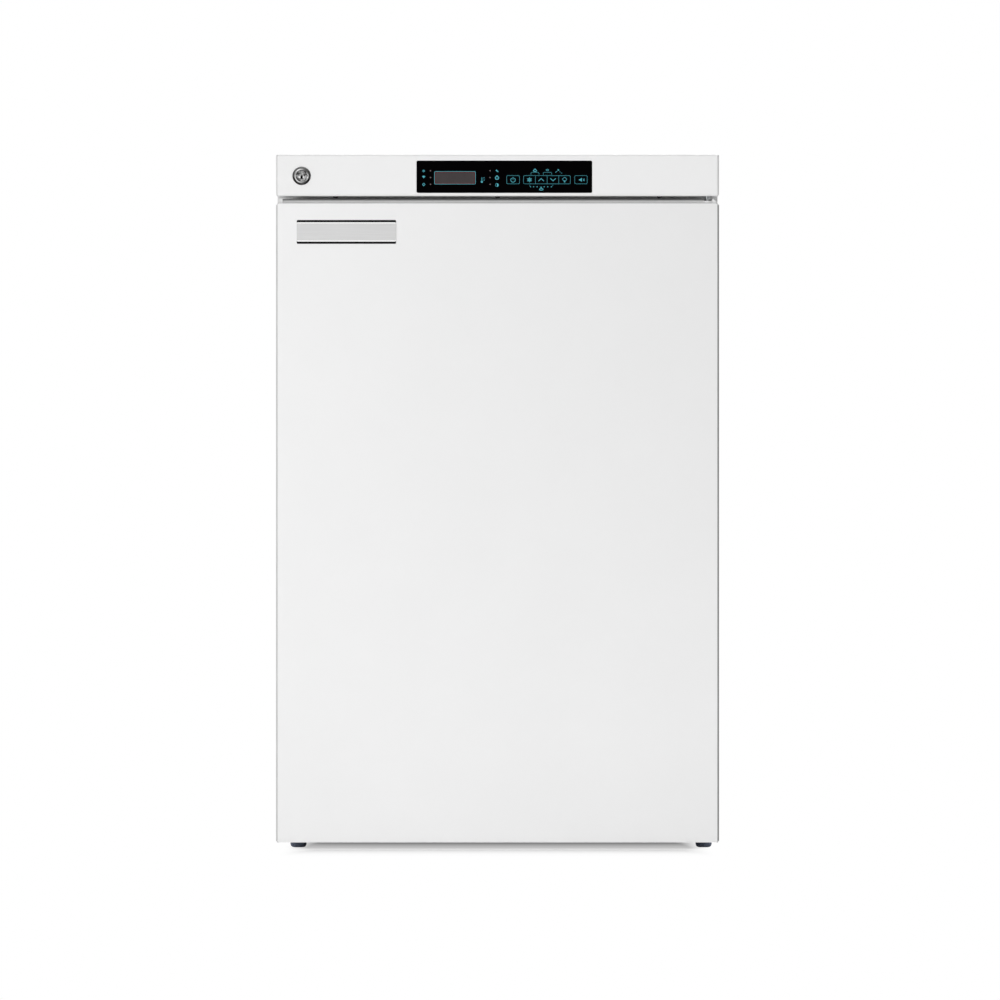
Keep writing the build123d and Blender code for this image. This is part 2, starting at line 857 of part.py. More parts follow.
# Lock barrel: flanged sleeve through the fascia, held by a nut behind
lock_flange_radius = 11.15
lock_flange = 2.2
lock_length = 19.0
lock_bore = 6.5
with BuildPart() as lock_barrel:
    with BuildSketch(facing_front(fascia_front)):
        with Locations((lock_x, lock_z)):
            Circle(lock_flange_radius)
    extrude(amount=lock_flange)
    with BuildSketch(facing_front(fascia_front)):
        with Locations((lock_x, lock_z)):
            RegularPolygon(lock_body_radius, round_sides)
    extrude(amount=-lock_length)
    with BuildSketch(facing_front(fascia_front - lock_flange)):
        with Locations((lock_x, lock_z)):
            Circle(lock_bore)
    extrude(amount=-lock_length - lock_flange, mode=Mode.SUBTRACT)
lock_barrel.part.label = "lock_barrel"
export_step(lock_barrel.part, "parts/lock_barrel.step")

lock_nut_across = 25.0
lock_nut_height = 3.5
with BuildPart() as lock_nut:
    with BuildSketch(facing_front(fascia_front + moulded_wall + lock_nut_height)):
        with Locations((lock_x, lock_z)):
            RegularPolygon(lock_nut_across / 2, 6, major_radius=False)
            RegularPolygon(lock_body_radius + running_fit, round_sides, mode=Mode.SUBTRACT)
    extrude(amount=lock_nut_height)
lock_nut.part.label = "lock_nut"
export_step(lock_nut.part, "parts/lock_nut.step")

# Lock plug: turns in the barrel, with a key slot in front and a square tail for the cam
plug_sink = 0.3
tail_side = 7.0
tail_length = 5.0
key_slot_width = 1.8
key_slot_height = 6.5
key_slot_depth = 14.0
with BuildPart() as lock_plug:
    plug_face = fascia_front - lock_flange + plug_sink
    with BuildSketch(facing_front(plug_face)):
        with Locations((lock_x, lock_z)):
            Circle(lock_bore - running_fit)
    extrude(amount=-(cam_y - fit - plug_face))
    with BuildSketch(facing_front(plug_face)):
        with Locations((lock_x, lock_z)):
            Rectangle(key_slot_width, key_slot_height)
    extrude(amount=-key_slot_depth, mode=Mode.SUBTRACT)
    with BuildSketch(facing_front(cam_y - fit)):
        with Locations((lock_x, lock_z)):
            Rectangle(tail_side, tail_side)
    extrude(amount=-tail_length)
lock_plug.part.label = "lock_plug"
export_step(lock_plug.part, "parts/lock_plug.step")

# Lock cam: lies level when the door is free and drops into the keeper when turned
with BuildPart() as lock_cam:
    with BuildSketch(facing_front(cam_y)):
        with Locations((lock_x, lock_z)):
            RegularPolygon(cam_half + sheet, 8)
        span(lock_x, lock_x + cam_length, lock_z - cam_half, lock_z + cam_half)
        with Locations((lock_x, lock_z)):
            Rectangle(tail_side + fit, tail_side + fit, mode=Mode.SUBTRACT)
    extrude(amount=-cam_thickness)
    chamfer(lock_cam.edges().filter_by(Axis.Y).group_by(Axis.X)[-1], cam_half / 2)
lock_cam.part.label = "lock_cam"
export_step(lock_cam.part, "parts/lock_cam.step")

# Top hinge: plate screwed to the cabinet top, its pin hanging into the door
screw_head_radius = 5.0
screw_inset = 10.0
screw_pitch = 30.0
with BuildPart() as hinge_top:
    with BuildSketch(level(cabinet_top)):
        span(top_plate_left, pin_x + hinge_nose, pin_y, cabinet_front)
        span(top_plate_left, wrap_half - cover_rim, pin_y, cabinet_front + top_plate_reach)
        with Locations((pin_x, pin_y)):
            RegularPolygon(hinge_nose, round_sides)
    extrude(amount=hinge_plate)
    with BuildSketch(level(cabinet_top)):
        with Locations((pin_x, pin_y)):
            Circle(top_pin_radius)
    extrude(amount=-(cabinet_top - boss_floor) - top_bush_length + pin_end_room)
hinge_top.part.label = "hinge_top"
export_step(hinge_top.part, "parts/hinge_top.step")

# Bottom hinge: arm under the base pan with a standing pin, drilled for the right foot
bottom_plate_reach = 44.0
bottom_plate_inboard = 27.8
bottom_plate_left = pin_x - bottom_plate_inboard
with BuildPart() as hinge_bottom:
    with BuildSketch(level(base_height - hinge_plate)):
        with Locations((pin_x, pin_y)):
            RegularPolygon(arm_half, round_sides)
        span(pin_x - arm_half, pin_x + arm_half - soft_gap, pin_y, cabinet_front)
        span(
            bottom_plate_left,
            pin_x + arm_half - soft_gap,
            cabinet_front,
            cabinet_front + bottom_plate_reach,
        )
        with Locations((foot_right_x, foot_y)):
            RegularPolygon(stud_hole_radius, round_sides, mode=Mode.SUBTRACT)
    extrude(amount=hinge_plate)
    with BuildSketch(level(base_height)):
        with Locations((pin_x, pin_y)):
            Circle(bottom_pin_radius)
    extrude(amount=pocket_top - base_height + bottom_bush_length - pin_end_room)
hinge_bottom.part.label = "hinge_bottom"
export_step(hinge_bottom.part, "parts/hinge_bottom.step")

# Screws of the top hinge
screw_head = 3.0
with BuildPart() as hinge_screws:
    with BuildSketch(level(cabinet_top + hinge_plate)):
        with Locations((top_plate_left + screw_inset, cabinet_front + top_plate_reach / 2)):
            with GridLocations(0, screw_pitch, 1, 2):
                RegularPolygon(screw_head_radius, 6)
    extrude(amount=screw_head)
hinge_screws.part.label = "hinge_screws"
export_step(hinge_screws.part, "parts/hinge_screws.step")

# Front feet: rubber pad moulded round the head of a stud that screws into a nut on the pan
pad_edge_radius = 9.9
pad_step = 3.4
stud_seat = 3.0
stud_head_radius = 6.0
nut_across = 13.0
nut_height = 6.5
pad_tops = {"left": base_height - soft_gap, "right": base_height - hinge_plate - soft_gap}
foot_places = {"left": foot_left_x, "right": foot_right_x}
for side, x in foot_places.items():
    with BuildPart() as foot_pad:
        with BuildSketch(Plane.XY):
            with Locations((x, foot_y)):
                RegularPolygon(pad_edge_radius, round_sides)
        extrude(amount=pad_tops["right"])
        if pad_tops[side] > pad_tops["right"]:
            with BuildSketch(level(pad_tops["right"])):
                with Locations((x, foot_y)):
                    RegularPolygon(pad_edge_radius - pad_step, round_sides)
            extrude(amount=pad_tops[side] - pad_tops["right"])
        with BuildSketch(level(stud_seat)):
            with Locations((x, foot_y)):
                RegularPolygon(stud_head_radius, 6)
        extrude(amount=base_height, mode=Mode.SUBTRACT)
    foot_pad.part.label = f"foot_pad_{side}"
    export_step(foot_pad.part, f"parts/foot_pad_{side}.step")
    with BuildPart() as foot_stud:
        with BuildSketch(level(stud_seat)):
            with Locations((x, foot_y)):
                RegularPolygon(stud_head_radius - running_fit, 6)
        extrude(amount=pad_tops["right"] - stud_seat)
        with BuildSketch(level(pad_tops["right"])):
            with Locations((x, foot_y)):
                Circle(stud_radius)
        extrude(amount=stud_top - pad_tops["right"])
    foot_stud.part.label = f"foot_stud_{side}"
    export_step(foot_stud.part, f"parts/foot_stud_{side}.step")

with BuildPart() as foot_nuts:
    with BuildSketch(level(pan_top)):
        with Locations((foot_left_x, foot_y), (foot_right_x, foot_y)):
            RegularPolygon(nut_across / 2, 6, major_radius=False)
            Circle(stud_radius + running_fit, mode=Mode.SUBTRACT)
    extrude(amount=nut_height)
foot_nuts.part.label = "foot_nuts"
export_step(foot_nuts.part, "parts/foot_nuts.step")

# Rear rollers: wheels under inverted brackets that stand on the base pan, each bracket with
# its riveted axle
bracket_sheet = 2.0
bracket_half_length = 10.0
wheel_side_gap = 1.0
wheel_top_gap = 3.0
bracket_inner = roller_width / 2 + wheel_side_gap
bracket_outer = bracket_inner + bracket_sheet
bracket_top = 2 * roller_radius + wheel_top_gap
with BuildPart() as roller_brackets:
    with BuildSketch(facing_front(roller_y + bracket_half_length)):
        for x in (-roller_x, roller_x):
            span(x - bracket_outer, x + bracket_outer, pan_top, bracket_top + bracket_sheet)
            span(x - bracket_inner, x + bracket_inner, pan_top, bracket_top, Mode.SUBTRACT)
    extrude(amount=2 * bracket_half_length)
    for x in (-roller_x, roller_x):
        with BuildSketch(facing_side(x - bracket_outer)):
            with Locations((roller_y, roller_radius)):
                Circle(roller_axle_radius)
        extrude(amount=2 * bracket_outer)
roller_brackets.part.label = "roller_brackets"
export_step(roller_brackets.part, "parts/roller_brackets.step")

for side, x in {"left": -roller_x, "right": roller_x}.items():
    with BuildPart() as roller:
        with BuildSketch(facing_side(x - roller_width / 2)):
            with Locations((roller_y, roller_radius)):
                Circle(roller_radius)
        extrude(amount=roller_width)
        with BuildSketch(facing_side(x - roller_width / 2)):
            with Locations((roller_y, roller_radius)):
                Circle(roller_axle_radius + running_fit)
        extrude(amount=roller_width, mode=Mode.SUBTRACT)
    roller.part.label = f"roller_{side}"
    export_step(roller.part, f"parts/roller_{side}.step")

# Compressor: two pressed shells welded at the waist, on a foot plate over four rubber mounts
shell_x = 50.0
shell_front_room = 20.0
shell_back_room = 22.0
shell_head_room = 41.8
shell_radius = (bay_depth - shell_front_room - shell_back_room) / 2
shell_y = cabinet_back - shell_back_room - shell_radius
seam_lip = 3.0
seam_height = 4.0
dome = 28.0
mount_height = 14.0
plate_thickness = 3.0
plate_width = 214.0
plate_depth = 128.0
mount_spread_x = 190.0
mount_spread_y = 104.0
mount_hole = 5.0
mount_radius = 9.0
bolt_radius = 3.5
bolt_head_radius = 8.0
bolt_head = 5.0
tube_sides = 6
shell_sides = 24
shell_rise = 1.0
plate_low = pan_top + mount_height
shell_low = plate_low + shell_rise
shell_top = bay_top - shell_head_room
shell_height = shell_top - shell_low
waist = shell_low + shell_height / 2
stub_radius = 5.0
stub_height = 12.0
discharge_dx = -30.0
with BuildPart() as compressor:
    with BuildSketch(level(shell_low)):
        with Locations((shell_x, shell_y)):
            RegularPolygon(shell_radius, shell_sides)
    extrude(amount=shell_height)
    chamfer(compressor.edges().filter_by(Axis.Z, reverse=True), dome)
    with BuildSketch(level(waist)):
        with Locations((shell_x, shell_y)):
            RegularPolygon(shell_radius + seam_lip, shell_sides)
    extrude(amount=seam_height)
    with BuildSketch(level(plate_low)):
        with Locations((shell_x, shell_y)):
            Rectangle(plate_width, plate_depth)
            with GridLocations(mount_spread_x, mount_spread_y, 2, 2):
                RegularPolygon(mount_hole, 6, mode=Mode.SUBTRACT)
    extrude(amount=plate_thickness)
    with BuildSketch(level(shell_top)):
        with Locations((shell_x + discharge_dx, shell_y), (suction_x, shell_y)):
            RegularPolygon(stub_radius, 6)
    extrude(amount=stub_height)
compressor.part.label = "compressor"
export_step(compressor.part, "parts/compressor.step")

with BuildPart() as compressor_mounts:
    with BuildSketch(level(pan_top)):
        with Locations((shell_x, shell_y)):
            with GridLocations(mount_spread_x, mount_spread_y, 2, 2):
                RegularPolygon(mount_radius, tube_sides)
    extrude(amount=mount_height)
compressor_mounts.part.label = "compressor_mounts"
export_step(compressor_mounts.part, "parts/compressor_mounts.step")

with BuildPart() as compressor_bolts:
    with BuildSketch(level(plate_low)):
        with Locations((shell_x, shell_y)):
            with GridLocations(mount_spread_x, mount_spread_y, 2, 2):
                RegularPolygon(bolt_radius, 6)
    extrude(amount=plate_thickness)
    with BuildSketch(level(plate_low + plate_thickness)):
        with Locations((shell_x, shell_y)):
            with GridLocations(mount_spread_x, mount_spread_y, 2, 2):
                RegularPolygon(bolt_head_radius, 6)
    extrude(amount=bolt_head)
compressor_bolts.part.label = "compressor_bolts"
export_step(compressor_bolts.part, "parts/compressor_bolts.step")

# Relay box on the shell's side
relay_width = 34.0
relay_depth = 52.0
relay_height = 58.0
relay_edge = 3.0
relay_rise = 30.0
relay_low = shell_low + relay_rise
relay_right = shell_x - shell_radius - seam_lip - soft_gap
with BuildPart() as relay_box:
    block(
        relay_right - relay_width,
        relay_right,
        shell_y - relay_depth / 2,
        shell_y + relay_depth / 2,
        relay_low,
        relay_low + relay_height,
    )
    chamfer(relay_box.edges().filter_by(Axis.Y), relay_edge)
relay_box.part.label = "relay_box"
export_step(relay_box.part, "parts/relay_box.step")

# Condenser: one tube bent to and fro behind the back panel, with wires welded across it
pipe_radius = 3.0
condenser_stand = 24.0
condenser_y = cabinet_back + condenser_stand
condenser_rise = 46.0
condenser_drop = 119.6
condenser_side_room = 91.0
condenser_runs = 7
condenser_low = bay_top + condenser_rise
condenser_top = cabinet_top - condenser_drop
condenser_pitch = (condenser_top - condenser_low) / (condenser_runs - 1)
condenser_run_half = wrap_half - condenser_side_room
condenser_wire_radius = 1.0
condenser_wires = 14
bend_steps = 6
wire_sides = 4
condenser_wire_inset = 9.0
condenser_wire_over = 7.0
condenser_wire_pitch = 2 * (condenser_run_half - condenser_wire_inset) / (condenser_wires - 1)
with BuildPart() as condenser:
    path = []
    for run in range(condenser_runs):
        z = condenser_low + run * condenser_pitch
        side = 1 if run % 2 == 0 else -1
        path.append(Vector(-side * condenser_run_half, condenser_y, z))
        path.append(Vector(side * condenser_run_half, condenser_y, z))
        if run < condenser_runs - 1:
            centre = Vector(side * condenser_run_half, condenser_y, z + condenser_pitch / 2)
            for step in range(1, bend_steps):
                swing = -side * step * 180 / bend_steps
                path.append(centre + Vector(0, 0, -condenser_pitch / 2).rotate(Axis.Y, swing))
    with BuildLine() as condenser_path:
        Polyline(*path)
    with BuildSketch(Plane(origin=condenser_path.line @ 0, z_dir=condenser_path.line % 0)):
        RegularPolygon(pipe_radius, tube_sides)
    sweep(path=condenser_path.line, transition=Transition.RIGHT)
    wire_y = condenser_y + pipe_radius + condenser_wire_radius + running_fit
    with BuildSketch(level(condenser_low - condenser_wire_over)):
        with Locations((0, wire_y)):
            with GridLocations(condenser_wire_pitch, 0, condenser_wires, 1):
                RegularPolygon(condenser_wire_radius, wire_sides)
    extrude(amount=condenser_top - condenser_low + 2 * condenser_wire_over)
condenser.part.label = "condenser"
export_step(condenser.part, "parts/condenser.step")

clip_inset = 38.0
clip_spread = 2 * (condenser_run_half - clip_inset)
clip_width = 15.0
clip_taper = 4.0
with BuildPart() as condenser_clips:
    with BuildSketch(facing_front(cabinet_back)):
        with Locations((0, (condenser_low + condenser_top) / 2)):
            with GridLocations(clip_spread, condenser_top - condenser_low, 2, 2):
                Rectangle(clip_width, clip_width)
    extrude(amount=-(condenser_stand - pipe_radius - fit), taper=clip_taper)
condenser_clips.part.label = "condenser_clips"
export_step(condenser_clips.part, "parts/condenser_clips.step")


def pipe(points, bend, radius):
    """Pipe along straight runs, each corner turned by one short run, six-sided to stay light."""
    corners = [Vector(*point) for point in points]
    path = [corners[0]]
    for before, here, after in zip(corners, corners[1:], corners[2:]):
        path.append(here + (before - here).normalized() * bend)
        path.append(here + (after - here).normalized() * bend)
    path.append(corners[-1])
    with BuildPart() as run:
        with BuildLine() as line:
            Polyline(*path)
        with BuildSketch(Plane(origin=line.line @ 0, z_dir=line.line % 0)):
            RegularPolygon(radius, tube_sides)
        sweep(path=line.line, transition=Transition.RIGHT)
    return run.part


# Filter drier at the condenser's lower end, with the capillary brazed to it
pipe_bend = 8.0
drier_radius = 9.0
drier_length = 48.0
drier_neck = 6.0
drier_sides = 12
drier_right = -condenser_run_half - fit
drier_left = drier_right - drier_length - 2 * drier_neck
capillary_radius = 1.6
capillary_reach = 12.0
capillary_bend = 6.0
capillary_x = drier_left - capillary_reach
with BuildPart() as filter_drier:
    with BuildSketch(facing_side(drier_left)):
        with Locations((condenser_y, condenser_low)):
            RegularPolygon(drier_radius, drier_sides)
    extrude(amount=drier_right - drier_left)
    chamfer(filter_drier.edges().filter_by(Axis.X, reverse=True), drier_neck)
    add(
        pipe(
            [
                (drier_left + drier_neck, condenser_y, condenser_low),
                (capillary_x, condenser_y, condenser_low),
                (capillary_x, cabinet_back + fit, condenser_low),
            ],
            capillary_bend,
            capillary_radius,
        )
    )
filter_drier.part.label = "filter_drier"
export_step(filter_drier.part, "parts/filter_drier.step")

# Discharge pipe: from the shell out through the grille and up to the condenser's top end
pipe_exit_drop = 13.0
pipe_exit_z = bay_top - pipe_exit_drop
riser_gap = 16.0
riser_x = condenser_run_half + condenser_pitch / 2 + riser_gap
discharge_x = shell_x + discharge_dx
discharge_pipe = pipe(
    [
        (discharge_x, shell_y, shell_top + stub_height),
        (discharge_x, shell_y, pipe_exit_z),
        (discharge_x, condenser_y, pipe_exit_z),
        (riser_x, condenser_y, pipe_exit_z),
        (riser_x, condenser_y, condenser_top),
        (condenser_run_half + fit, condenser_y, condenser_top),
    ],
    pipe_bend,
    pipe_radius,
)
discharge_pipe.label = "discharge_pipe"
export_step(discharge_pipe, "parts/discharge_pipe.step")

# Suction pipe: from the wall back to the shell
suction_stand = 13.0
suction_y = cabinet_back + suction_stand
suction_pipe = pipe(
    [
        (suction_x, shell_y, shell_top + stub_height),
        (suction_x, shell_y, pipe_exit_z),
        (suction_x, suction_y, pipe_exit_z),
        (suction_x, suction_y, suction_entry_z),
        (suction_x, cabinet_back - sheet, suction_entry_z),
    ],
    pipe_bend,
    suction_radius,
)
suction_pipe.label = "suction_pipe"
export_step(suction_pipe, "parts/suction_pipe.step")

# Mains inlet: flanged socket in the grille, with three blades in its cavity
inlet_inset = 62.8
inlet_x = -pan_half + inlet_inset
inlet_z = 62.0
inlet_flange_width = 50.0
inlet_flange_height = 30.0
inlet_flange = 2.0
inlet_body_width = 30.0
inlet_body_height = 23.0
inlet_depth = 22.0
inlet_cavity_width = 24.5
inlet_cavity_height = 16.5
inlet_cavity_depth = 16.0
blade_height = 4.0
blade_width = 2.0
blade_spread = 7.0
blade_offset = 2.0
blade_length = 13.0
inlet_floor_y = cabinet_back + inlet_flange - inlet_cavity_depth
with BuildPart() as power_inlet:
    with BuildSketch(facing_front(cabinet_back + inlet_flange)):
        with Locations((inlet_x, inlet_z)):
            Rectangle(inlet_flange_width, inlet_flange_height)
    extrude(amount=inlet_flange)
    with BuildSketch(facing_front(cabinet_back)):
        with Locations((inlet_x, inlet_z)):
            Rectangle(inlet_body_width, inlet_body_height)
    extrude(amount=inlet_depth)
    with BuildSketch(facing_front(cabinet_back + inlet_flange)):
        with Locations((inlet_x, inlet_z)):
            Rectangle(inlet_cavity_width, inlet_cavity_height)
    extrude(amount=inlet_cavity_depth, mode=Mode.SUBTRACT)
    with BuildSketch(facing_front(inlet_floor_y)):
        with Locations(
            (inlet_x - blade_spread, inlet_z + blade_offset),
            (inlet_x + blade_spread, inlet_z + blade_offset),
            (inlet_x, inlet_z - blade_offset),
        ):
            Rectangle(blade_width, blade_height)
    extrude(amount=-blade_length)
power_inlet.part.label = "power_inlet"
export_step(power_inlet.part, "parts/power_inlet.step")

# Rear grille: slotted sheet over the bay, cut for the inlet and notched for the pipes
slot_width = 9.0
slot_length = 62.0
slot_columns = 15
slot_inlet_room = 62.0
slot_side_room = 60.8
slot_first = inlet_x + slot_inlet_room
slot_last = pan_half - slot_side_room
slot_pitch = (slot_last - slot_first) / (slot_columns - 1)
slot_row_pitch = 76.0
grille_low = base_height
grille_high = bay_top + pan_sheet
pipe_notch = 2.0
with BuildPart() as rear_grille:
    with BuildSketch(facing_front(cabinet_back)):
        span(-pan_half, pan_half, grille_low, grille_high)
        with Locations(((slot_first + slot_last) / 2, (grille_low + grille_high) / 2)):
            with GridLocations(slot_pitch, slot_row_pitch, slot_columns, 2):
                Rectangle(slot_width, slot_length, mode=Mode.SUBTRACT)
        with Locations((inlet_x, inlet_z)):
            Rectangle(inlet_body_width + 2 * fit, inlet_body_height + 2 * fit, mode=Mode.SUBTRACT)
        for x, radius in ((discharge_x, pipe_radius), (suction_x, suction_radius)):
            notch = radius + pipe_notch
            span(x - notch, x + notch, pipe_exit_z - notch, grille_high, Mode.SUBTRACT)
    extrude(amount=sheet)
rear_grille.part.label = "rear_grille"
export_step(rear_grille.part, "parts/rear_grille.step")

# Wall spacers: keep air behind the condenser
spacer_inset = 69.0
spacer_x = wrap_half - spacer_inset
spacer_drop = 34.0
spacer_width = 16.0
spacer_height = 44.0
spacer_taper = 3.0
with BuildPart() as wall_spacers:
    with BuildSketch(facing_front(cabinet_back)):
        with Locations((-spacer_x, cabinet_top - spacer_drop), (spacer_x, cabinet_top - spacer_drop)):
            Rectangle(spacer_width, spacer_height)
    extrude(amount=-rear_stand_off, taper=spacer_taper)
wall_spacers.part.label = "wall_spacers"
export_step(wall_spacers.part, "parts/wall_spacers.step")

# Access port: sleeve through the wall, closed by a rubber stopper
port_flange_radius = 21.0
port_flange = 2.0
stopper_head_radius = 17.0
stopper_head = 7.0
stopper_length = 38.0
with BuildPart() as port_sleeve:
    with BuildSketch(facing_front(cabinet_back + port_flange)):
        with Locations((port_x, port_z)):
            RegularPolygon(port_flange_radius, round_sides)
    extrude(amount=port_flange)
    with BuildSketch(facing_front(cabinet_back)):
        with Locations((port_x, port_z)):
            RegularPolygon(port_radius, round_sides)
    extrude(amount=cabinet_back - cold_back)
    with BuildSketch(facing_front(cabinet_back + port_flange)):
        with Locations((port_x, port_z)):
            RegularPolygon(port_bore_radius, round_sides)
    extrude(amount=cabinet_back + port_flange - cold_back, mode=Mode.SUBTRACT)
port_sleeve.part.label = "port_sleeve"
export_step(port_sleeve.part, "parts/port_sleeve.step")

with BuildPart() as port_stopper:
    with BuildSketch(facing_front(cabinet_back + port_flange)):
        with Locations((port_x, port_z)):
            RegularPolygon(stopper_head_radius, round_sides)
    extrude(amount=-stopper_head)
    with BuildSketch(facing_front(cabinet_back + port_flange)):
        with Locations((port_x, port_z)):
            RegularPolygon(port_bore_radius - fit, round_sides)
    extrude(amount=stopper_length)
port_stopper.part.label = "port_stopper"
export_step(port_stopper.part, "parts/port_stopper.step")

# Air probe in its guard on the cold space's right wall
probe_width = 18.0
probe_height = 60.0
probe_stand = 9.0
probe_taper = 8.0
probe_back_room = 60.0
probe_rise = 120.0
with BuildPart() as air_probe:
    with BuildSketch(facing_side(cold_half)):
        with Locations((cold_back - probe_back_room, middle_shelf_z + probe_rise)):
            Rectangle(probe_width, probe_height)
    extrude(amount=-probe_stand, taper=probe_taper)
air_probe.part.label = "air_probe"
export_step(air_probe.part, "parts/air_probe.step")

# Shelf clips: blocks on the side walls that hold the shelves down on their ledges
clip_reach = 11.0
clip_height = 9.0
clip_length = 18.0
clip_first = 60.0
clip_pitch = 170.0
with BuildPart() as shelf_clips:
    for z in shelf_levels.values():
        clip_low = z + shelf_sheet + soft_gap
        for side in (-1, 1):
            inner = side * (cold_half - clip_reach)
            outer = side * (cold_half - fit)
            for place in range(2):
                start = ledge_front + clip_first + place * clip_pitch
                block(
                    min(inner, outer),
                    max(inner, outer),
                    start,
                    start + clip_length,
                    clip_low,
                    clip_low + clip_height,
                )
shelf_clips.part.label = "shelf_clips"
export_step(shelf_clips.part, "parts/shelf_clips.step")

# Drawers: tapered tub with a turned-out rim, and a front with a finger notch
drawer_side_room = 13.0
drawer_step_room = 5.7
drawer_air_room = 13.7
drawer_draft = 2.0
drawer_corner = 14.0
drawer_wall = 2.2
rim_width = 4.0
rim_thickness = 3.0
front_thickness = 10.0
drawer_set_back = 22.0
notch_radius = 46.0
notch_drop = 20.0
drawer_back_room = 15.0
drawer_half = cold_half - drawer_side_room
drawer_front = cabinet_front + drawer_set_back
low_height = lower_shelf_z - shelf_lip - drawer_step_room - cold_floor - soft_gap
high_height = shelf_pitch_up - shelf_sheet - shelf_lip - drawer_air_room - soft_gap
step_back = step_front - drawer_back_room
full_back = cold_back - drawer_back_room
drawers = {
    "low": (cold_floor + soft_gap, low_height, step_back),
    "middle": (lower_shelf_z + shelf_sheet + soft_gap, high_height, full_back),
    "top": (middle_shelf_z + shelf_sheet + soft_gap, high_height, full_back),
}
for name, (z, drawer_height, back) in drawers.items():
    rim_z = z + drawer_height
    tub_front = drawer_front + front_thickness + fit
    tub_back = back - rim_width
    tub_half = drawer_half - 2 * rim_width
    with BuildPart() as drawer_tub:
        with BuildSketch(level(rim_z)):
            cut_span(-tub_half, tub_half, tub_front, tub_back, drawer_corner)
        extrude(amount=-drawer_height)
        sides = drawer_tub.faces().filter_by(Axis.Z, reverse=True)
        draft(sides, level(rim_z), -drawer_draft)
        offset(amount=-drawer_wall, openings=drawer_tub.faces().sort_by(Axis.Z)[-1])
        with BuildSketch(level(rim_z)):
            span(-drawer_half + rim_width, drawer_half - rim_width, tub_front, back)
            cut_span(
                -tub_half + drawer_wall,
                tub_half - drawer_wall,
                tub_front + drawer_wall,
                tub_back - drawer_wall,
                drawer_corner,
                Mode.SUBTRACT,
            )
        extrude(amount=-rim_thickness)
    drawer_tub.part.label = f"drawer_tub_{name}"
    export_step(drawer_tub.part, f"parts/drawer_tub_{name}.step")
    with BuildPart() as drawer_face:
        with BuildSketch(facing_front(drawer_front + front_thickness)):
            with Locations((0, z + drawer_height / 2)):
                Rectangle(2 * drawer_half, drawer_height)
            with Locations((0, rim_z + notch_radius - notch_drop)):
                Circle(notch_radius, mode=Mode.SUBTRACT)
        extrude(amount=front_thickness)
    drawer_face.part.label = f"drawer_front_{name}"
    export_step(drawer_face.part, f"parts/drawer_front_{name}.step")
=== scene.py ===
import math

import bmesh
import bpy
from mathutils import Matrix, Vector


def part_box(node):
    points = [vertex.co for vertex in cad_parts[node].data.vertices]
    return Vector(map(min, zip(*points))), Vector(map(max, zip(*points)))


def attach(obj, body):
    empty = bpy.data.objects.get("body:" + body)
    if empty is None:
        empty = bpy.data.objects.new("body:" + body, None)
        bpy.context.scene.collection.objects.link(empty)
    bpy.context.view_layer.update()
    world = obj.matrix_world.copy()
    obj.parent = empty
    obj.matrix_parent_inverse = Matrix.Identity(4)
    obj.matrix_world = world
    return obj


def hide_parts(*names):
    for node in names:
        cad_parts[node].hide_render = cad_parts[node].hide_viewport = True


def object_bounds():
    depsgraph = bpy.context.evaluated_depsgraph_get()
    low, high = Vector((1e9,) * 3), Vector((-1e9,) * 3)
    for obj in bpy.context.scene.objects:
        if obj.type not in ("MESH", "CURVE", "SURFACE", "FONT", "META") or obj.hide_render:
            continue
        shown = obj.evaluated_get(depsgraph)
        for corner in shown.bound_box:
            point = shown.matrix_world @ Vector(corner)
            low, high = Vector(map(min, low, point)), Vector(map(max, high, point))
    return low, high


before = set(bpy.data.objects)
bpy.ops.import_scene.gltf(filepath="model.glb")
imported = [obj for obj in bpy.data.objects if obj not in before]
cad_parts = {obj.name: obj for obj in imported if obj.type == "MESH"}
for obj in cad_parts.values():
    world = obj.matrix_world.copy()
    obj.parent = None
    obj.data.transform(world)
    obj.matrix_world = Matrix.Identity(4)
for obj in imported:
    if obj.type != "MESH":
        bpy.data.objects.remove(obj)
cad_low, cad_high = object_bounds()


# Cabinet shell and top cover: sheet steel, painted in the coil and folded, so that the
# paint runs unbroken over every bend. The foam behind keeps the sides dead flat.
def srgb(code):
    """Linear colour of an sRGB hex code."""
    channels = [int(code[i:i + 2], 16) / 255 for i in (1, 3, 5)]
    return [c / 12.92 if c <= 0.04045 else ((c + 0.055) / 1.055) ** 2.4 for c in channels] + [1.0]


def per_metre(millimetres):
    """Texture scale that repeats once in so many millimetres."""
    return 1000 / millimetres


def add(material, kind, settings, links=None):
    """Adds a node with its settings and links, and returns it."""
    tree = material.node_tree
    made = tree.nodes.new("ShaderNode" + kind)
    for key, value in settings.items():
        if isinstance(key, str) and hasattr(made, key):
            setattr(made, key, value)
        else:
            made.inputs[key].default_value = value
    for key, source in (links or {}).items():
        tree.links.new(source, made.inputs[key])
    return made


def new_material(name):
    """Empty node material with its output, and the object's own coordinates."""
    material = bpy.data.materials.new(name)
    material.use_nodes = True
    material.node_tree.nodes.clear()
    return material, add(material, "TexCoord", {}).outputs["Object"]


def finish_with(material, shader):
    """Joins the last shader to the material's output."""
    add(material, "OutputMaterial", {}, {"Surface": shader.outputs[0]})
    return material


def dress(material, *nodes):
    """Gives CAD nodes their finish."""
    for name in nodes:
        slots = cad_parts[name].data.materials
        slots.clear()
        slots.append(material)


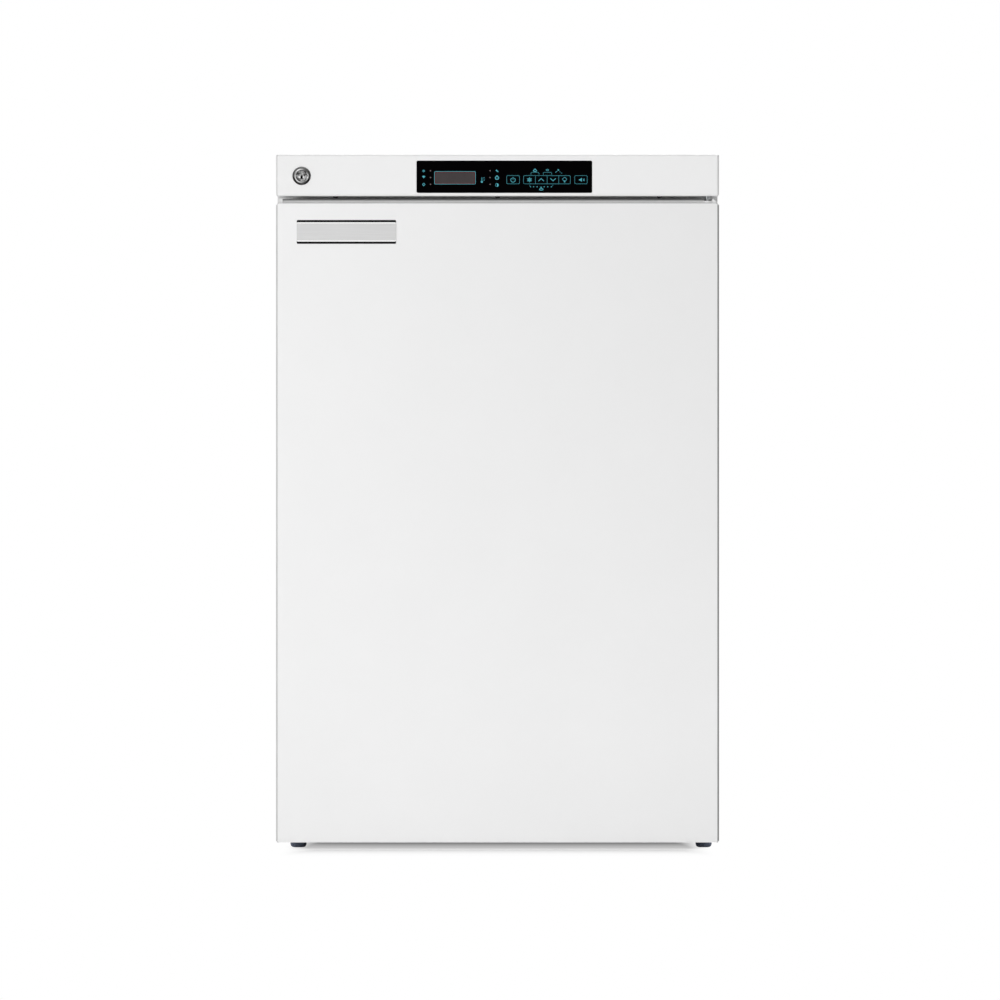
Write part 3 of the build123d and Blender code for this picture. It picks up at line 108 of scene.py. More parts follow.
# Pre-painted steel: polyester paint baked on the coil. It gives a soft sheen with a faint
# orange peel, about 3 mm from crest to crest, and is a touch warmer where it lies thicker.
painted_steel, where = new_material("prepainted_steel")
thickness = add(painted_steel, "TexNoise", {"Scale": per_metre(90), "Detail": 3.0}, {"Vector": where})
paint = add(
    painted_steel,
    "Mix",
    {"data_type": "RGBA", 6: srgb("#f1f1f1"), 7: srgb("#eeeeee")},
    {0: thickness.outputs["Fac"]},
)
peel = add(painted_steel, "TexNoise", {"Scale": per_metre(3), "Detail": 2.0}, {"Vector": where})
peel_bump = add(
    painted_steel, "Bump", {"Strength": 0.25, "Distance": 0.00003}, {"Height": peel.outputs["Fac"]}
)
sheen_spread = add(
    painted_steel, "MapRange", {"To Min": 0.34, "To Max": 0.42}, {"Value": thickness.outputs["Fac"]}
)
surface = add(
    painted_steel,
    "BsdfPrincipled",
    {"IOR": 1.5, "Coat Weight": 0.15, "Coat Roughness": 0.25},
    {"Base Color": paint.outputs[2], "Roughness": sheen_spread.outputs[0], "Normal": peel_bump.outputs[0]},
)
finish_with(painted_steel, surface)
dress(painted_steel, "cabinet_wrap", "top_cover")


# Door skin: one painted sheet bent back along both sides, with its corners clipped so that
# they don't cut a hand. The bends turn in 2 mm. The right flange stops short below, where the
# arm of the bottom hinge turns under it.
def corners(node):
    """A CAD node's lowest and highest corners, in millimetres."""
    return [Vector(corner) * 1000 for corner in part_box(node)]


def skin_over(bm, rings, closed=False, capped=True):
    """Faces over rings of points in millimetres. The ends are filled in unless the rings close."""
    made = [[bm.verts.new(point) for point in ring] for ring in rings]
    for i in range(len(made) if closed else len(made) - 1):
        here, following = made[i], made[(i + 1) % len(made)]
        for j in range(len(here)):
            k = (j + 1) % len(here)
            bm.faces.new((here[j], here[k], following[k], following[j]))
    if capped and not closed:
        bm.faces.new(made[0])
        bm.faces.new(made[-1])
    return made


def piece(name, bm, materials, body, *nodes, crease=30):
    """Makes a piece from faces in millimetres, on a body, standing for CAD nodes."""
    bmesh.ops.remove_doubles(bm, verts=bm.verts, dist=0.001)
    bmesh.ops.dissolve_degenerate(bm, edges=bm.edges, dist=0.0005)
    bmesh.ops.recalc_face_normals(bm, faces=bm.faces)
    bmesh.ops.scale(bm, vec=(0.001, 0.001, 0.001), verts=bm.verts)
    mesh = bpy.data.meshes.new(name)
    bm.to_mesh(mesh)
    bm.free()
    for material in materials:
        mesh.materials.append(material)
    mesh.shade_smooth()
    mesh.set_sharp_from_angle(angle=math.radians(crease))
    made = bpy.data.objects.new(name, mesh)
    bpy.context.scene.collection.objects.link(made)
    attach(made, body)
    if nodes:
        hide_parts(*nodes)
    return made


# Bend shade: the sheet's bends are painted grey as shade, most on the right. It shows there as
# a thin grey line, uneven over about 60 mm.
painted_bend_shade, where = new_material("bend_painted_shade_material")
bend_unevenness = add(painted_bend_shade, "TexNoise", {"Scale": per_metre(60), "Detail": 3.0}, {"Vector": where})
left_bend_shade = add(
    painted_bend_shade,
    "Mix",
    {"data_type": "RGBA", 6: srgb("#cccccc"), 7: srgb("#c2c2c2")},
    {0: bend_unevenness.outputs["Fac"]},
)
right_bend_shade = add(
    painted_bend_shade,
    "Mix",
    {"data_type": "RGBA", 6: srgb("#9a9a9a"), 7: srgb("#8a8a8a")},
    {0: bend_unevenness.outputs["Fac"]},
)
bend_side = add(painted_bend_shade, "SeparateXYZ", {}, {0: where})
on_right = add(
    painted_bend_shade, "MapRange", {"From Min": -0.01, "From Max": 0.01}, {"Value": bend_side.outputs["X"]}
)
bend_shade_tone = add(
    painted_bend_shade,
    "Mix",
    {"data_type": "RGBA"},
    {0: on_right.outputs[0], 6: left_bend_shade.outputs[2], 7: right_bend_shade.outputs[2]},
)
surface = add(
    painted_bend_shade,
    "BsdfPrincipled",
    {"Roughness": 0.55, "IOR": 1.5, "Specular IOR Level": 0.2},
    {"Base Color": bend_shade_tone.outputs[2]},
)
finish_with(painted_bend_shade, surface)

skin_low, skin_high = corners("door_skin")
skin_sheet = 1.0
skin_bend = 2.0
skin_clip = 2.1
bend_steps = 6
arm_notch_front = skin_low.y + 2.5
arm_notch_top = skin_low.z + 5.9


def skin_section(half, z, right_back):
    """The bent sheet's outline at one height: out along its face and back along its inside."""
    outline = []
    for inset, way in ((0.0, 1), (skin_sheet, -1)):
        radius = skin_bend - inset
        bend = []
        for step in range(bend_steps + 1):
            turn = math.pi / 2 * step / bend_steps
            bend_x = -half + skin_bend - radius * math.cos(turn)
            bend_y = skin_low.y + skin_bend - radius * math.sin(turn)
            bend.append((bend_x, bend_y))
        other_bend = [(-x, y) for x, y in reversed(bend)]
        outline += ([(-half + inset, skin_high.y)] + bend + other_bend + [(half - inset, right_back)])[::way]
    return [(x, y, z) for x, y in outline]


door_sheet = bmesh.new()
skin_over(
    door_sheet,
    [
        skin_section(skin_high.x - skin_clip, skin_low.z, arm_notch_front),
        skin_section(skin_high.x, skin_low.z + skin_clip, arm_notch_front),
        skin_section(skin_high.x, arm_notch_top - 0.2, arm_notch_front),
        skin_section(skin_high.x, arm_notch_top, skin_high.y),
        skin_section(skin_high.x, skin_high.z - skin_clip, skin_high.y),
        skin_section(skin_high.x - skin_clip, skin_high.z, skin_high.y),
    ],
)
# the faces round both bends take the painted bend shade
for face in door_sheet.faces:
    middle = face.calc_center_median()
    if abs(middle.x) > skin_high.x - skin_bend and middle.y < skin_low.y + skin_bend:
        face.material_index = 1
piece("door_outer_sheet", door_sheet, [painted_steel, painted_bend_shade], "door", "door_skin")

# Zinc-plated steel: base pan, bay and back sheets, grille, brackets, hinges and hardware.
# Galvanising leaves a dull grey with pale and dark grains of about 6 mm, the spangle.
galvanised, where = new_material("galvanised_steel")
spangle = add(galvanised, "TexVoronoi", {"Scale": per_metre(6)}, {"Vector": where})
zinc = add(
    galvanised,
    "Mix",
    {"data_type": "RGBA", 6: srgb("#a6a9ac"), 7: srgb("#c4c6c8")},
    {0: spangle.outputs["Color"]},
)
zinc_rough = add(
    galvanised, "MapRange", {"To Min": 0.32, "To Max": 0.5}, {"Value": spangle.outputs["Color"]}
)
zinc_grain = add(galvanised, "TexNoise", {"Scale": per_metre(1.2), "Detail": 3.0}, {"Vector": where})
zinc_bump = add(
    galvanised, "Bump", {"Strength": 0.2, "Distance": 0.00003}, {"Height": zinc_grain.outputs["Fac"]}
)
surface = add(
    galvanised,
    "BsdfPrincipled",
    {"Metallic": 0.9},
    {"Base Color": zinc.outputs[2], "Roughness": zinc_rough.outputs[0], "Normal": zinc_bump.outputs[0]},
)
finish_with(galvanised, surface)
dress(
    galvanised,
    "base_pan",
    "bay_panel",
    "back_panel",
    "rear_grille",
    "roller_brackets",
    "hinge_top",
    "hinge_bottom",
    "hinge_screws",
    "foot_nuts",
    "foot_stud_left",
    "foot_stud_right",
    "compressor_bolts",
    "lock_nut",
    "lock_cam",
    "lock_keeper",
)

# Liners: polystyrene sheet, heated and drawn by vacuum over a mould. It comes out matt,
# with a fine leather grain of about 1.5 mm that softens on the deep walls.
liner_sheet, where = new_material("vacuum_formed_polystyrene")
leather = add(liner_sheet, "TexVoronoi", {"Scale": per_metre(1.5)}, {"Vector": where})
cloud = add(liner_sheet, "TexNoise", {"Scale": per_metre(120), "Detail": 2.0}, {"Vector": where})
liner_tone = add(
    liner_sheet,
    "Mix",
    {"data_type": "RGBA", 6: srgb("#eceef0"), 7: srgb("#e4e7ea")},
    {0: cloud.outputs["Fac"]},
)
liner_bump = add(
    liner_sheet, "Bump", {"Strength": 0.35, "Distance": 0.00006}, {"Height": leather.outputs["Distance"]}
)
surface = add(
    liner_sheet,
    "BsdfPrincipled",
    {"Roughness": 0.48, "IOR": 1.57, "Subsurface Weight": 0.05, "Subsurface Scale": 0.002},
    {"Base Color": liner_tone.outputs[2], "Normal": liner_bump.outputs[0]},
)
finish_with(liner_sheet, surface)
dress(liner_sheet, "inner_liner", "door_liner")

# Insulation: polyurethane foamed in place, closed all round and seen only in a section.
# It is cream, with cells of under a millimetre and larger voids near the walls.
rigid_foam, where = new_material("polyurethane_foam")
cells = add(rigid_foam, "TexVoronoi", {"Scale": per_metre(1)}, {"Vector": where})
foam_tone = add(
    rigid_foam,
    "Mix",
    {"data_type": "RGBA", 6: srgb("#e9d9a6"), 7: srgb("#d8c283")},
    {0: cells.outputs["Distance"]},
)
foam_bump = add(
    rigid_foam, "Bump", {"Strength": 0.6, "Distance": 0.0003}, {"Height": cells.outputs["Distance"]}
)
surface = add(
    rigid_foam,
    "BsdfPrincipled",
    {"Roughness": 0.9},
    {"Base Color": foam_tone.outputs[2], "Normal": foam_bump.outputs[0]},
)
finish_with(rigid_foam, surface)
dress(rigid_foam, "insulation_foam", "door_foam")


# Evaporator shelves: two aluminium sheets rolled together, the channel blown up between
# them. Mill aluminium keeps the rolling lines, about 0.8 mm apart, drawn across the shelf.
def grained(name, spacing, tones, coat, detail=2.0, rough=None, bump=None, stretch=None):
    """Material of two tones over one grain, with the grain's spacing in millimetres. The grain can
    spread the roughness between two values, and stand up with a strength and a height in metres."""
    material, where = new_material(name)
    if stretch:
        where = add(material, "Mapping", {"Scale": stretch}, {"Vector": where}).outputs[0]
    grain = add(material, "TexNoise", {"Scale": per_metre(spacing), "Detail": detail}, {"Vector": where})
    share = grain.outputs["Fac"]
    tone = add(material, "Mix", {"data_type": "RGBA", 6: srgb(tones[0]), 7: srgb(tones[1])}, {0: share})
    links = {"Base Color": tone.outputs[2]}
    if rough:
        spread = add(material, "MapRange", {"To Min": rough[0], "To Max": rough[1]}, {"Value": share})
        links["Roughness"] = spread.outputs[0]
    if bump:
        relief = add(material, "Bump", {"Strength": bump[0], "Distance": bump[1]}, {"Height": share})
        links["Normal"] = relief.outputs[0]
    return finish_with(material, add(material, "BsdfPrincipled", coat, links))


rolled_aluminium = grained(
    "mill_aluminium",
    0.8,
    ("#c9ccd0", "#dcdfe2"),
    {"Metallic": 1.0},
    detail=3.0,
    rough=(0.28, 0.42),
    stretch=(0.03, 1.0, 1.0),
)
dress(rolled_aluminium, "evaporator_shelf_lower", "evaporator_shelf_middle")

# Drawers: polystyrene moulded in one shot, clear with a cold blue cast. The draft lets them
# leave the mould, whose polish shows as faint flow lines, about 25 mm apart.
clear_polystyrene = grained(
    "clear_polystyrene",
    25,
    ("#e6eff5", "#d9e6ef"),
    {"IOR": 1.59, "Transmission Weight": 0.55},
    rough=(0.1, 0.2),
)
for tier in ("low", "middle", "top"):
    dress(clear_polystyrene, f"drawer_tub_{tier}", f"drawer_front_{tier}")

# Small white mouldings inside: shelf clips, the air probe's guard and the hinge bushes are
# nylon, which is slightly yellow, waxy and dull, with a mould texture of about 0.7 mm.
white_nylon = grained(
    "moulded_nylon", 0.7, ("#eeeae0", "#e4e0d5"), {"Roughness": 0.45, "IOR": 1.53}, bump=(0.3, 0.00004)
)
dress(white_nylon, "shelf_clips", "air_probe", "door_bushes")

# Door caps: ABS mouldings that close the skin above and below. The top one has the sloped
# grip. Its slope is painted greyer at the foot, as shade under the fascia's overhang, fading out
# 4 mm further up, and its top edge is painted darker still, as shade in the gap.
slope_foot, slope_unshaded = 0.7866, 0.7906  # heights in metres, and so are the places below
gap_shade_low, gap_shade_high = 0.7896, 0.7912
gap_shade_back, gap_shade_front = -0.2690, -0.2702
gap_shade_end, gap_shade_full = 0.2625, 0.2615
grey_abs, where = new_material("grey_abs_moulding")
spark = add(grey_abs, "TexNoise", {"Scale": per_metre(0.9), "Detail": 3.0}, {"Vector": where})
abs_tone = add(
    grey_abs,
    "Mix",
    {"data_type": "RGBA", 6: srgb("#f0f0f0"), 7: srgb("#e9e9e9")},
    {0: spark.outputs["Fac"]},
)
cap_height = add(grey_abs, "SeparateXYZ", {}, {0: where})
# painted shade at the foot of the slope
slope_unshaded_share = add(
    grey_abs,
    "MapRange",
    {"From Min": slope_foot, "From Max": slope_unshaded},
    {"Value": cap_height.outputs["Z"]},
)
slope_shaded_tone = add(
    grey_abs,
    "Mix",
    {"data_type": "RGBA", 6: srgb("#c6c6c6")},
    {0: slope_unshaded_share.outputs[0], 7: abs_tone.outputs[2]},
)
# painted shade in the gap along the slope's top edge
slot_edge = add(
    grey_abs, "MapRange", {"From Min": gap_shade_low, "From Max": gap_shade_high}, {"Value": cap_height.outputs["Z"]}
)
slot_front = add(
    grey_abs,
    "MapRange",
    {"From Min": gap_shade_back, "From Max": gap_shade_front},
    {"Value": cap_height.outputs["Y"]},
)
slot_out = add(grey_abs, "Math", {"operation": "ABSOLUTE"}, {0: cap_height.outputs["X"]})
slot_length = add(
    grey_abs, "MapRange", {"From Min": gap_shade_end, "From Max": gap_shade_full}, {"Value": slot_out.outputs[0]}
)
slot_corner = add(
    grey_abs, "Math", {"operation": "MULTIPLY"}, {0: slot_edge.outputs[0], 1: slot_front.outputs[0]}
)
gap_painted_shade = add(
    grey_abs, "Math", {"operation": "MULTIPLY"}, {0: slot_corner.outputs[0], 1: slot_length.outputs[0]}
)
cap_shaded_tone = add(
    grey_abs,
    "Mix",
    {"data_type": "RGBA", 7: srgb("#6a6a6a")},
    {0: gap_painted_shade.outputs[0], 6: slope_shaded_tone.outputs[2]},
)
abs_bump = add(grey_abs, "Bump", {"Strength": 0.3, "Distance": 0.00004}, {"Height": spark.outputs["Fac"]})
surface = add(
    grey_abs,
    "BsdfPrincipled",
    {"Roughness": 0.42, "IOR": 1.52},
    {"Base Color": cap_shaded_tone.outputs[2], "Normal": abs_bump.outputs[0]},
)
finish_with(grey_abs, surface)
dress(grey_abs, "door_cap_top", "door_cap_bottom")

# Door gasket: soft PVC, extruded with a bellows and a pocket for the magnet, and welded at
# its mitred corners. It is dull, and pale grey against the white of the door.
soft_pvc = grained(
    "extruded_soft_pvc", 14, ("#d8d8d6", "#cbcbca"), {"IOR": 1.53}, detail=4.0, rough=(0.5, 0.65)
)
dress(soft_pvc, "door_gasket")

# Nameplate: rolled aluminium strip, bonded to the skin and left bare. Its face is brushed
# along, a bright line is cut along each edge, and the rolled-down edges are painted black as shade.
# The brush lines are finer than the render can show, and are drawn 0.5 mm apart.
brushed_aluminium = grained(
    "brushed_aluminium",
    0.5,
    ("#bcbcbc", "#cdcdcd"),
    {"Metallic": 0.8},
    detail=4.0,
    rough=(0.35, 0.5),
    stretch=(0.012, 1.0, 1.0),
)

# Cut line: a diamond tool runs along each edge of the brushed face and leaves the metal
# mirror-bright, with chatter marks 1 mm apart.
bright_cut = grained(
    "diamond_cut_aluminium", 1, ("#f4f4f4", "#fafafa"), {"Metallic": 0.9}, rough=(0.08, 0.16)
)

# Dark edge: the rolled-down edges painted black as their shade and reflected shade, greyer in
# patches of about 40 mm.
plate_edge_shade = grained(
    "nameplate_edge_painted_shade",
    40,
    ("#030303", "#1e1e1e"),
    {"Specular IOR Level": 0.03},
    detail=1.0,
    rough=(0.3, 0.45),
)

badge_low, badge_high = corners("badge_plate")
badge_middle = (badge_low.z + badge_high.z) / 2
badge_half = (badge_high.z - badge_low.z) / 2
badge_clip = 0.9
plate_edge_shade_reach = 2.65
cut_reach = 4.55
badge_steps = (  # distance in from the long edge, and height of the plate there
    (0.0, 0.0),
    (0.0, 0.2),
    (2.6, 0.85),
    (2.7, 1.0),
    (4.3, 1.0),
    (4.5, 0.85),
)


def badge_section(x, clip):
    """The strip's outline across its length."""
    upper = [(badge_half - inset, rise) for inset, rise in badge_steps]
    outline = upper + [(-z, rise) for z, rise in reversed(upper)]
    narrowing = (badge_half - clip) / badge_half
    return [(x, badge_high.y - rise, badge_middle + z * narrowing) for z, rise in outline]


name_strip = bmesh.new()
skin_over(
    name_strip,
    [
        badge_section(badge_low.x, badge_clip),
        badge_section(badge_low.x + badge_clip, 0.0),
        badge_section(badge_high.x - badge_clip, 0.0),
        badge_section(badge_high.x, badge_clip),
    ],
)
for face in name_strip.faces:
    from_edge = badge_half - abs(face.calc_center_median().z - badge_middle)
    if from_edge < plate_edge_shade_reach:
        face.material_index = 2
    elif from_edge < cut_reach:
        face.material_index = 1
piece("bare_nameplate", name_strip, [brushed_aluminium, bright_cut, plate_edge_shade], "door", "badge_plate")

# Control fascia: white ABS, moulded in a textured tool and bevelled along its lower edge.
# It stands a little brighter than the painted door, and its upright edges are painted grey as shade.
fascia_shade_start, fascia_shade_full = 0.2674, 0.2684  # metres out from the middle
white_abs, where = new_material("white_abs_moulding")
tool_grain = add(white_abs, "TexNoise", {"Scale": per_metre(1.1), "Detail": 2.0}, {"Vector": where})
fascia_cloud = add(white_abs, "TexNoise", {"Scale": per_metre(150), "Detail": 1.0}, {"Vector": where})
fascia_tone = add(
    white_abs,
    "Mix",
    {"data_type": "RGBA", 6: srgb("#f4f4f4"), 7: srgb("#f2f2f2")},
    {0: fascia_cloud.outputs["Fac"]},
)
fascia_place = add(white_abs, "SeparateXYZ", {}, {0: where})
fascia_out = add(white_abs, "Math", {"operation": "ABSOLUTE"}, {0: fascia_place.outputs["X"]})
# painted shade along the fascia's upright edges
fascia_edge_shade = add(
    white_abs, "MapRange", {"From Min": fascia_shade_start, "From Max": fascia_shade_full}, {"Value": fascia_out.outputs[0]}
)
fascia_shaded_tone = add(
    white_abs,
    "Mix",
    {"data_type": "RGBA", 7: srgb("#d6d6d6")},
    {0: fascia_edge_shade.outputs[0], 6: fascia_tone.outputs[2]},
)
fascia_bump = add(
    white_abs, "Bump", {"Strength": 0.2, "Distance": 0.00003}, {"Height": tool_grain.outputs["Fac"]}
)
surface = add(
    white_abs,
    "BsdfPrincipled",
    {"Roughness": 0.38, "IOR": 1.52},
    {"Base Color": fascia_shaded_tone.outputs[2], "Normal": fascia_bump.outputs[0]},
)
finish_with(white_abs, surface)
dress(white_abs, "control_fascia")


# Fascia screws: three pan-head screws hold the housing's lower edge. Their blackened heads
# hang in the gap above the door, each with a small round recess.
def turned(bm, axis, centre, profile, steps=48, closed=False):
    """Turned form about an axis: pairs of radius and place along it, in millimetres."""
    rings = []
    for radius, along in profile:
        ring = []
        for step in range(steps):
            across = radius * math.cos(math.tau * step / steps)
            over = radius * math.sin(math.tau * step / steps)
            spot = {"x": (along, across, over), "y": (across, along, over), "z": (across, over, along)}[axis]
            ring.append(Vector(spot) + Vector(centre))
        rings.append(ring)
    return skin_over(bm, rings, closed=closed, capped=False)


black_oxide = grained(
    "black_oxide_steel", 1.5, ("#1a1a1a", "#4a4a4a"), {"Metallic": 0.7}, rough=(0.35, 0.5)
)

fascia_low = corners("control_fascia")[0]
screw_radius = 3.2
screw_hang = 2.3
screw_out = 197.5
screw_y = fascia_low.y + 9.0
for place, screw_x in (("left", -screw_out), ("middle", 0.0), ("right", screw_out)):
    screw = bmesh.new()
    turned(
        screw,
        "z",
        (screw_x, screw_y, 0),
        [
            (0.0, fascia_low.z),
            (screw_radius, fascia_low.z),
            (screw_radius, fascia_low.z - 0.7),
            (screw_radius - 0.7, fascia_low.z - 1.7),
            (screw_radius - 1.5, fascia_low.z - screw_hang),
            (1.0, fascia_low.z - screw_hang),
            (1.0, fascia_low.z - 1.2),
            (0.0, fascia_low.z - 1.2),
        ],
        steps=24,
    )
    piece(f"fascia_screw_{place}", screw, [black_oxide], "cabinet")

# Control panel: acrylic sheet printed black from behind, with touch keys behind the print.
# Its face is polished, and only a faint haze of dust, in patches of 30 mm, breaks the gloss.
black_acrylic = grained(
    "back_printed_acrylic",
    30,
    ("#010001", "#030203"),
    {"IOR": 1.49, "Specular IOR Level": 0.01},
    detail=5.0,
    rough=(0.12, 0.24),
)
dress(black_acrylic, "control_glass")

# Panel print: turquoise ink, screened through a mesh of about 0.3 mm whose weave shows as a
# faint unevenness. It is drawn 0.6 mm coarse here, and stands 0.06 mm proud of the acrylic.
screen_ink = grained(
    "screened_turquoise_ink", 0.6, ("#4aa0ad", "#5fbccb"), {"Specular IOR Level": 0.1}, rough=(0.4, 0.55)
)

panel_low, panel_high = corners("control_glass")
panel_x = (panel_low.x + panel_high.x) / 2
panel_z = (panel_low.z + panel_high.z) / 2
ink_rise = 0.06


def patch(bm, points, rise=ink_rise):
    """Filled mark through points (x, z) from the panel's middle."""
    skin_over(
        bm, [[(panel_x + x, panel_low.y - lift, panel_z + z) for x, z in points] for lift in (0.0, rise)]
    )


def ribbon(bm, points, width, closed=False, rise=ink_rise):
    """Printed line of even width through points (x, z) from the panel's middle."""
    points = [Vector(point) for point in points]
    sides = []
    for i, here in enumerate(points):
        ways = []
        if closed or i > 0:
            ways.append((here - points[i - 1]).normalized())
        if closed or i < len(points) - 1:
            ways.append((points[(i + 1) % len(points)] - here).normalized())
        middle = sum(ways, Vector((0, 0))).normalized()
        across = Vector((-middle.y, middle.x)) * width / 2 / max(0.5, middle.dot(ways[0]))
        sides.append([here + across, here - across])
    rings = [
        [
            (panel_x + side.x, panel_low.y - lift, panel_z + side.y)
            for side, lift in ((left, 0.0), (left, rise), (right, rise), (right, 0.0))
        ]
        for left, right in sides
    ]
    skin_over(bm, rings, closed=closed)


def around(x, z, across, high, count=20, turn=0, arc=360):
    """Points round an oval, or along part of it, in degrees from the right."""
    angles = [math.radians(turn + arc * i / (count if arc == 360 else count - 1)) for i in range(count)]
    return [(x + across / 2 * math.cos(a), z + high / 2 * math.sin(a)) for a in angles]


def window(x0, x1, z0, z1, corner):
    """Points round a rectangle with rounded corners."""
    points = []
    for x, z, turn in ((x1, z1, 0), (x0, z1, 90), (x0, z0, 180), (x1, z0, 270)):
        inward_x = x - corner if x == x1 else x + corner
        inward_z = z - corner if z == z1 else z + corner
        points += around(inward_x, inward_z, 2 * corner, 2 * corner, count=4, turn=turn, arc=90)
    return points


marks = bmesh.new()
thin, broad = 0.3, 0.62

# marks beside the lamps on the left: cold, fan and defrost
for turn in (30, 90, 150):
    ribbon(marks, around(-98.3, 7.1, 3.6, 3.4, count=2, turn=turn), 0.45)
ribbon(marks, around(-98.3, 7.1, 2.2, 2.2, count=6, turn=30), 0.35, closed=True)
patch(
    marks,
    [(-100.4, 0.3), (-99.4, 1.1), (-98.3, 1.4), (-97.2, 1.1), (-96.2, 0.3)]
    + [(-97.5, -0.7), (-98.3, -2.0), (-99.1, -0.7)],
)
ribbon(marks, around(-98.3, -9.4, 3.2, 3.2, count=4), broad, closed=True)

# display surround, and a thermometer beside it
ribbon(marks, window(-85.2, -35.2, -9.0, 6.4, 1.0), 0.42, closed=True)
ribbon(marks, [(-27.4, -5.4), (-27.4, -0.6)], broad)
patch(marks, around(-27.4, -6.2, 2.6, 2.6))
for height in (-1.0, -2.7, -4.4):
    ribbon(marks, [(-25.8, height), (-23.8, height)], thin)

# marks beside the lamps on the right: supply, alarm and door
patch(marks, [(-10.7, 7.9), (-9.6, 8.8), (-7.6, 6.8), (-7.3, 5.6), (-8.8, 6.3)])
ribbon(
    marks,
    [(-9.0, 1.3), (-7.1, -0.9), (-7.3, -2.6), (-9.0, -3.2), (-10.7, -2.6), (-10.9, -0.9)],
    0.95,
    closed=True,
)
ribbon(marks, around(-9.0, -10.1, 4.0, 4.4, count=12, turn=90, arc=180), thin)
patch(marks, around(-9.0, -10.1, 4.2, 4.4, count=12, turn=-90, arc=180))

# keys: power, then cold, up, down and lamp in one frame, then quiet
for key_left, key_right in ((2.9, 18.5), (23.4, 80.5), (85.8, 101.0)):
    ribbon(marks, window(key_left, key_right, -8.6, 1.4, 1.3), thin, closed=True)
for divider in (37.9, 52.2, 66.3):
    ribbon(marks, [(divider, 1.2), (divider, -8.4)], thin)
ribbon(marks, around(10.6, -3.9, 5.6, 5.4, count=16, turn=125, arc=290), 0.65)
ribbon(marks, [(10.6, -0.6), (10.6, -3.2)], 0.7)
for turn in (30, 90, 150):
    ribbon(marks, around(30.7, -3.7, 6.4, 6.0, count=2, turn=turn), 0.75)
ribbon(marks, around(30.7, -3.7, 4.2, 4.0, count=6, turn=30), 0.7, closed=True)
ribbon(marks, [(41.6, -5.3), (44.9, -2.2), (48.2, -5.3)], 0.75)
ribbon(marks, [(56.1, -1.9), (59.4, -5.0), (62.7, -1.9)], 0.75)
ribbon(marks, [(73.5, -0.6), (76.2, -2.6), (75.0, -4.8), (72.0, -4.8), (70.8, -2.6)], 0.45, closed=True)
patch(marks, around(73.5, -6.0, 2.0, 1.7, count=8))
patch(marks, [(91.0, -3.0), (92.4, -3.0), (94.4, -1.2), (94.4, -6.2), (92.4, -4.4), (91.0, -4.4)])
ribbon(marks, [(95.9, -2.3), (98.0, -5.1)], 0.6)
ribbon(marks, [(98.0, -2.3), (95.9, -5.1)], 0.6)

# marks for two keys pressed together, above and below the keys
for bracket_left, bracket_right in ((32.5, 42.2), (47.5, 57.7)):
    ribbon(
        marks,
        [
            (bracket_left, 2.4),
            (bracket_left, 4.6),
            (bracket_left + 0.8, 5.4),
            (bracket_right - 0.8, 5.4),
            (bracket_right, 4.6),
            (bracket_right, 2.4),
        ],
        thin,
    )
ribbon(marks, [(37.4, 9.6), (39.3, 7.4), (38.4, 6.3), (36.4, 6.3), (35.5, 7.4)], 0.8, closed=True)
ribbon(marks, around(52.5, 8.2, 3.2, 1.8, count=12), 0.5, closed=True)
patch(marks, around(65.8, 8.3, 1.9, 1.9, count=10))
for start, stop in (((64.5, 7.0), (62.2, 5.2)), ((67.2, 6.6), (68.4, 5.6)), ((69.4, 4.9), (70.6, 3.9))):
    ribbon(marks, [start, stop], 0.4)
for dot in (31.8, 35.7, 40.0, 48.5, 53.0, 57.4):
    patch(marks, around(dot, -12.2, 1.35, 1.2, count=8))
ribbon(marks, [(58.5, -11.4), (59.4, -9.8)], thin)
ribbon(marks, [(31.2, -11.2), (31.0, -9.8)], thin)
patch(marks, around(44.8, -12.9, 1.8, 1.8, count=8))
ribbon(marks, around(45.0, -15.4, 4.6, 2.0, count=14), 0.7, closed=True)
piece("panel_marks", marks, [screen_ink], "cabinet")

# Display window: smoked film over the figures, which are dark while the freezer is off. The
# film is cut with a red-brown line round it and has a haze in patches of 12 mm.
smoked_film = grained(
    "smoked_polyester_film", 12, ("#3d3839", "#474142"), {"Specular IOR Level": 0.1}, rough=(0.3, 0.4)
)
film = bmesh.new()
patch(film, window(-85.0, -35.4, -8.9, 6.3, 1.0), rise=0.03)
piece("display_film", film, [smoked_film], "cabinet")

red_line = grained(
    "cut_film_edge", 2, ("#4c2426", "#6a3335"), {"Roughness": 0.4, "Specular IOR Level": 0.1}
)
film_edge = bmesh.new()
ribbon(film_edge, window(-84.1, -36.3, -8.0, 5.4, 0.6), 0.9, closed=True, rise=0.045)
piece("display_film_edge", film_edge, [red_line], "cabinet")

# Lamps: six small lenses of clear resin, moulded with a dimple. They are pinkish grey when
# off, and cloudy in patches of about 1 mm.
lamp_resin = grained(
    "clear_lamp_resin",
    1,
    ("#6c6364", "#7c7374"),
    {"Roughness": 0.25, "IOR": 1.54, "Specular IOR Level": 0.1},
)
lens_profile = [
    (0.0, panel_low.y),
    (0.8, panel_low.y),
    (0.7, panel_low.y - 0.15),
    (0.4, panel_low.y - 0.25),
    (0.0, panel_low.y - 0.2),
]
lenses = bmesh.new()
for lens_x in (-90.0, -17.4):
    for lens_z in (7.4, -0.9, -9.2):
        turned(lenses, "y", (panel_x + lens_x, 0, panel_z + lens_z), lens_profile, steps=16)
piece("panel_lamps", lenses, [lamp_resin], "cabinet")

